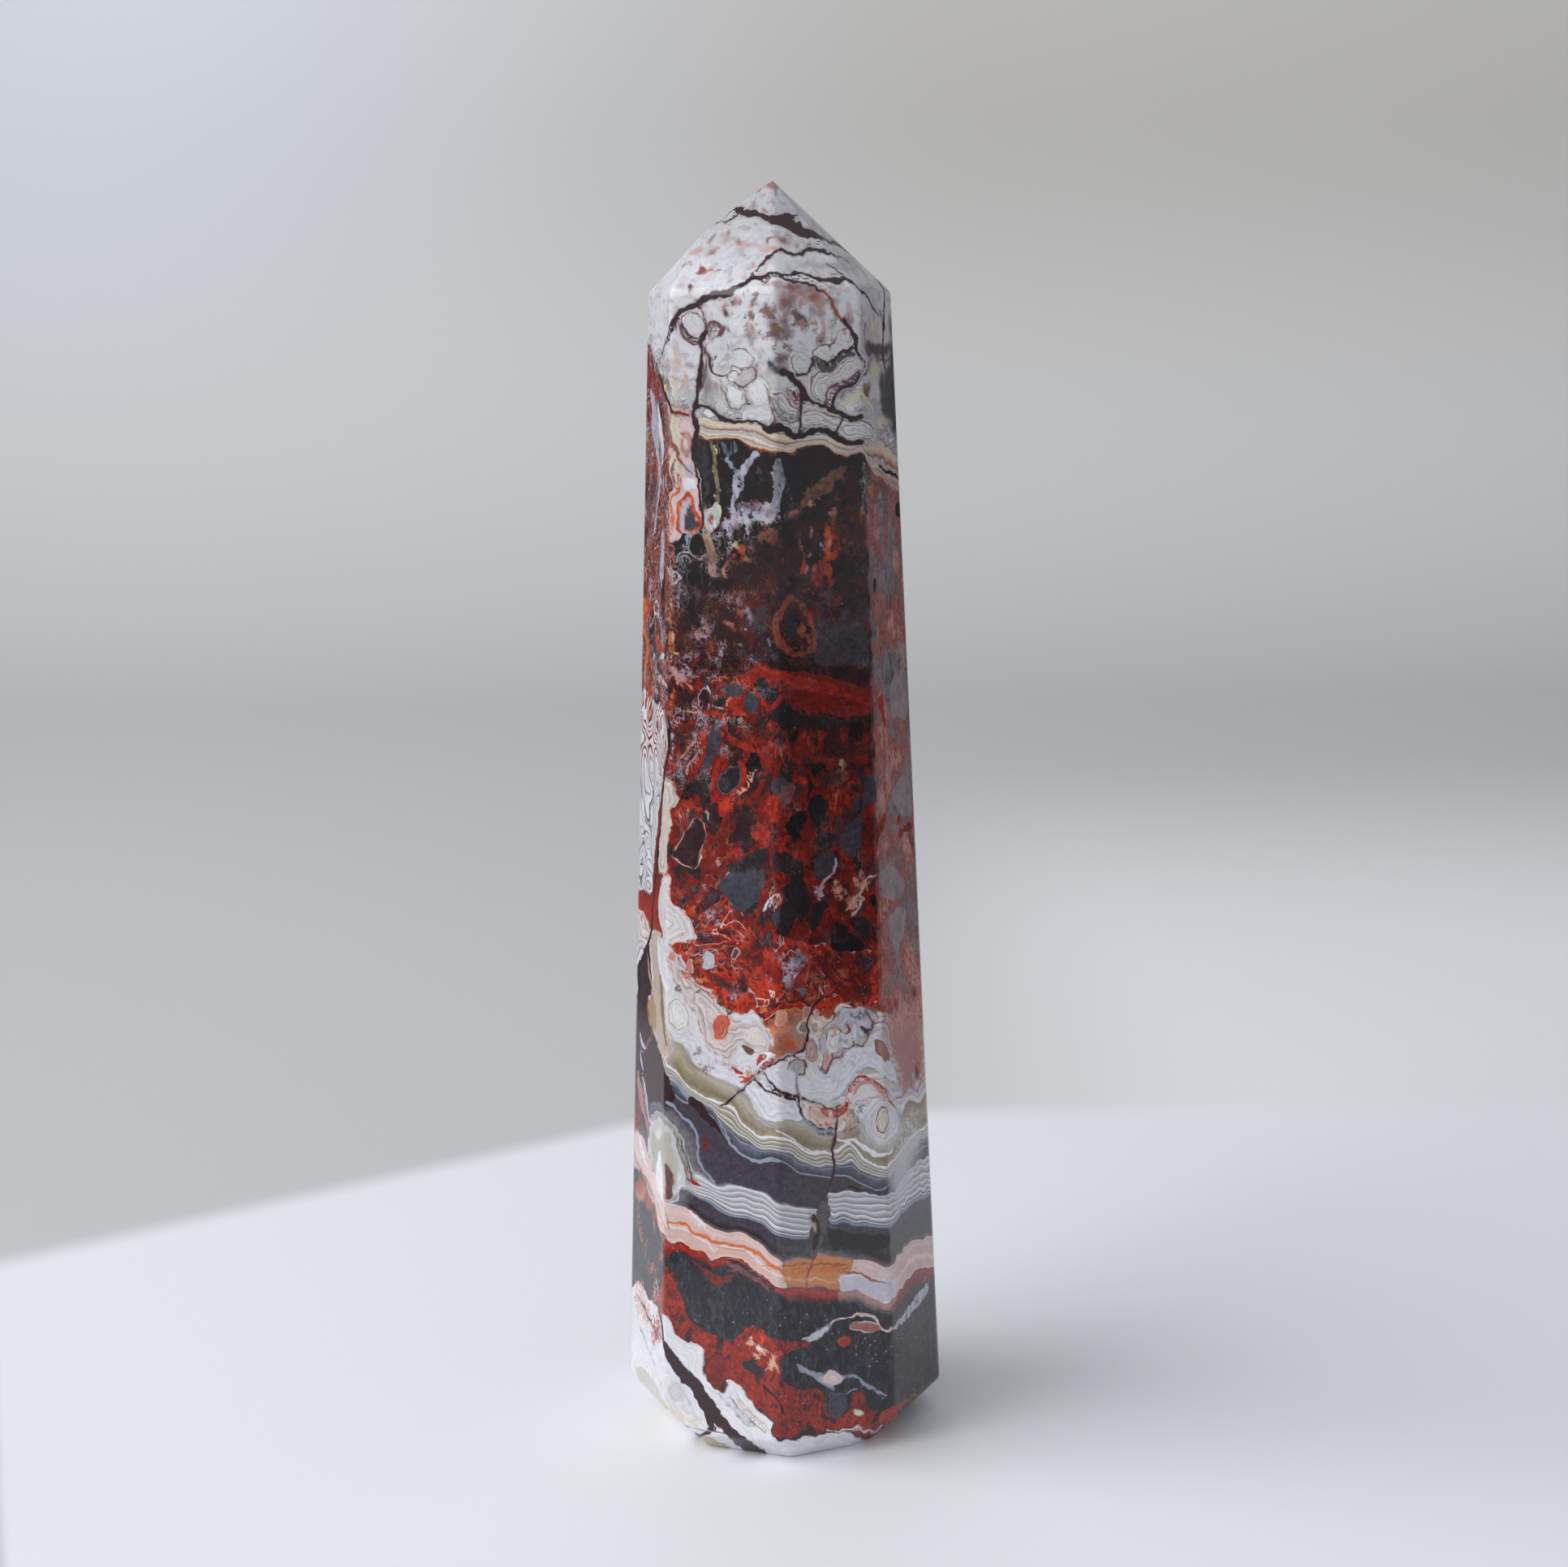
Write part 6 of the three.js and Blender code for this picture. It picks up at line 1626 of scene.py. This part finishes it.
# %% Deeper colour and painted shade, mottle, dust and painted glints
# Painted shade and deeper colour: the dark middle, mostly on the right front side, is darkened and reddened.
painted = over(tree, calc(tree, "MULTIPLY", stored("deep_share"), 0.75), painted, (0.62, 0.42, 0.42, 1), "MULTIPLY")
mottle = smooth(tree, noise(tree, position, 0.7, 6, 0.62), 0.25, 0.75, -0.24, 0.24)
light_here = smooth(tree, put(tree, "ShaderNodeRGBToBW", {0: painted}).outputs[0], 0.2, 0.5)
even = calc(tree, "MAXIMUM", calm, light_here)
mottle = calc(tree, "MULTIPLY_ADD", mottle, smooth(tree, even, 0, 1, 1, 0.3), 1.0)
grit = smooth(tree, noise(tree, position, 2.6, 5, 0.7), 0.3, 0.7, -0.3, 0.3)
dark_here = smooth(tree, put(tree, "ShaderNodeRGBToBW", {0: painted}).outputs[0], 0.35, 0.08, 0.15, 1)
mottle = calc(tree, "MULTIPLY_ADD", grit, dark_here, mottle)
mottle_colour = put(tree, "ShaderNodeCombineColor", {0: mottle, 1: mottle, 2: mottle}).outputs[0]
painted = over(tree, 1.0, painted, mottle_colour, "MULTIPLY")
rich = noise(tree, position, 0.3, 2)
# Pale specks: a sparse dust everywhere, and in the glittering slate near the foot, painted glints for its sparkle.
for dots_per_mm, dot_size, dust_and_glint_amount in ((1.1, 0.09, 0.5), (2.0, 0.19, stored("glitter_share"))):
    cells = {"Vector": position, "Scale": dots_per_mm}
    dots = put(tree, "ShaderNodeTexVoronoi", cells, feature="F1").outputs["Distance"]
    glints = calc(tree, "MULTIPLY", smooth(tree, dots, dot_size, dot_size * 0.4), dust_and_glint_amount)
    glint_share = calc(tree, "MULTIPLY", glints, smooth(tree, rich, 0.45, 0.6))
    painted = over(tree, glint_share, painted, (*linear("haze"), 1))

# %% The polished surface
surface = put(tree, "ShaderNodeBsdfPrincipled", {"Base Color": painted, "IOR": 1.54})
rough = smooth(tree, noise(tree, position, 1.5, 4), 0.3, 0.7, 0.07, 0.14)
rough = calc(tree, "MULTIPLY_ADD", stored("haze_share"), 0.14, rough)
tree.links.new(rough, surface.inputs["Roughness"])
peel = noise(tree, position, 0.9, 3)
bump = put(tree, "ShaderNodeBump", {"Height": peel, "Strength": 0.04, "Distance": 0.0002})
tree.links.new(bump.outputs[0], surface.inputs["Normal"])
output = put(tree, "ShaderNodeOutputMaterial", {"Surface": surface.outputs[0]})
mesh.materials.append(agate)
print(len(tree.nodes), "nodes in the agate material")

# %% [markdown]
# ## The stage
# The stone stands on a plain pale table that curves up into a grey wall far behind it. One wide
# soft light from the left stands for the window, a second lights only the wall, and an even
# sky fills the shadows. The wall and floor are painted lighter and darker in places as painted
# light and shade of the room, and the floor out of view in front of and beside the camera is
# painted near-black as painted shade of the unlit room, which the polished sides reflect.

# %% Stage material
COVE_START = 0.45
COVE_RADIUS = 0.8


def plain_material(name, colour, roughness):
    material = bpy.data.materials.new(name)
    material.use_nodes = True
    shader = material.node_tree.nodes["Principled BSDF"]
    shader.inputs["Base Color"].default_value = (*colour, 1)
    shader.inputs["Roughness"].default_value = roughness
    return material


def backdrop(name, width, near_end, far_length, material):
    """A table top that curves up into a wall, so there is no line where they meet."""
    sheet_mesh = bpy.data.meshes.new(name)
    shape = bmesh.new()
    bmesh.ops.create_grid(shape, x_segments=1, y_segments=80, size=0.5)
    for corner in shape.verts:
        run = near_end + (corner.co.y + 0.5) * far_length
        bent = min(max(run - COVE_START, 0) / COVE_RADIUS, math.pi / 2)
        rise = max(run - COVE_START - COVE_RADIUS * math.pi / 2, 0)
        flat = min(run, COVE_START)
        corner.co = (
            corner.co.x * width,
            flat + COVE_RADIUS * math.sin(bent),
            COVE_RADIUS * (1 - math.cos(bent)) + rise,
        )
    shape.to_mesh(sheet_mesh)
    shape.free()
    sheet_mesh.shade_smooth()
    made = bpy.data.objects.new(name, sheet_mesh)
    scene.collection.objects.link(made)
    sheet_mesh.materials.append(material)


TABLE_FAR_EDGE = 0.088
TABLE_TINT = (0.94, 0.96, 1.0)
# Painted light and shade of the room: the far wall is lighter on the left than on the right, and the floor behind the
# table is darker, except for a lighter stretch to the right.
FAR_TINT = (0.405, 0.395, 0.382)
FAR_LEFT_TINT = (0.57, 0.59, 0.64)
NEAR_FLOOR_TINT = (0.64, 0.64, 0.645)
RIGHT_FLOOR_TINT = (0.92, 0.93, 0.955)
LEFT_EDGE_SLANT = (0.79, 0.098)
# Painted shade: a near-black for the unlit room out of view in front of and beside the camera, which the polished sides
# reflect.
PAINTED_ROOM_SHADE = (0.1, 0.1, 0.11)
BESIDE_FRAME = (-0.314, -0.33)
RIGHT_OF_FRAME = (0.31, 0.36)
BESIDE_PAINTED_SHADE = 0.94
stage_paint = plain_material("stage_paint", TABLE_TINT, 0.6)
board = stage_paint.node_tree
there = put(board, "ShaderNodeSeparateXYZ", {0: put(board, "ShaderNodeTexCoord").outputs["Object"]})
# Painted light and shade: the far wall is lighter on the left.
sideways = smooth(board, there.outputs["X"], -0.35, 0.1)
far_tint = over(board, sideways, (*FAR_LEFT_TINT, 1), (*FAR_TINT, 1))
# Painted shade: the table in front of the camera, out of view, is painted near-black so the front sides reflect a dark
# room.
painted_dark_front = smooth(board, there.outputs["Y"], -0.14, -0.06)
near_tint = over(board, painted_dark_front, (*PAINTED_ROOM_SHADE, 1), (*TABLE_TINT, 1))
# Painted light and shade: the floor behind the table is darker, and painted lighter to the right of the stone.
low_down = smooth(board, there.outputs["Z"], 0.22, 0.0)
to_right = smooth(board, there.outputs["X"], -0.01, 0.06)
to_right = calc(board, "MULTIPLY", to_right, smooth(board, there.outputs["Y"], 0.4, 0.16))
floor_tint = over(board, to_right, (*NEAR_FLOOR_TINT, 1), (*RIGHT_FLOOR_TINT, 1))
far_tint = over(board, low_down, far_tint, floor_tint)
table_edge = calc(board, "MULTIPLY_ADD", there.outputs["X"], *LEFT_EDGE_SLANT)
table_edge = calc(board, "MINIMUM", table_edge, TABLE_FAR_EDGE)
beyond = smooth(board, calc(board, "SUBTRACT", there.outputs["Y"], table_edge), -0.003, 0.006)
tint = over(board, beyond, near_tint, far_tint)
# Painted shade: the floor beside the frame, out of view, is painted near-black too, so the narrow sides reflect a dark
# room.
aside = calc(board, "DIVIDE", there.outputs["X"], calc(board, "ADD", there.outputs["Y"], -CAMERA_PLACE[1] * MM))
left_side = smooth(board, aside, *BESIDE_FRAME)
right_beside = calc(
    board, "MULTIPLY", smooth(board, aside, *RIGHT_OF_FRAME), smooth(board, there.outputs["Y"], -0.04, 0.08)
)
beside = calc(board, "MULTIPLY", calc(board, "MAXIMUM", left_side, right_beside), BESIDE_PAINTED_SHADE)
tint = over(board, beside, tint, (*PAINTED_ROOM_SHADE, 1))
board.links.new(tint, board.nodes["Principled BSDF"].inputs["Base Color"])
backdrop("backdrop", 4.0, -2.2, 4.6, stage_paint)

# %% Lights
def soft_light(name, place, target, size, power):
    data = bpy.data.lights.new(name, "AREA")
    data.shape = "RECTANGLE"
    data.size, data.size_y = size
    data.energy = power
    light = bpy.data.objects.new(name, data)
    light.location = place
    light.rotation_euler = (Vector(target) - Vector(place)).to_track_quat("-Z", "Y").to_euler()
    scene.collection.objects.link(light)


soft_light("window_light", (-0.62, -0.2, 0.5), (0, 0, 0.04), (0.86, 0.68), 5.5)
soft_light("wall_light", (0, 0.5, 0.9), (0, 1.5, 0.9), (1.6, 0.5), 9)
world = bpy.data.worlds.new("room")
world.use_nodes = True
world.node_tree.nodes["Background"].inputs["Color"].default_value = (0.93, 0.96, 1.0, 1)
world.node_tree.nodes["Background"].inputs["Strength"].default_value = 0.47
scene.world = world
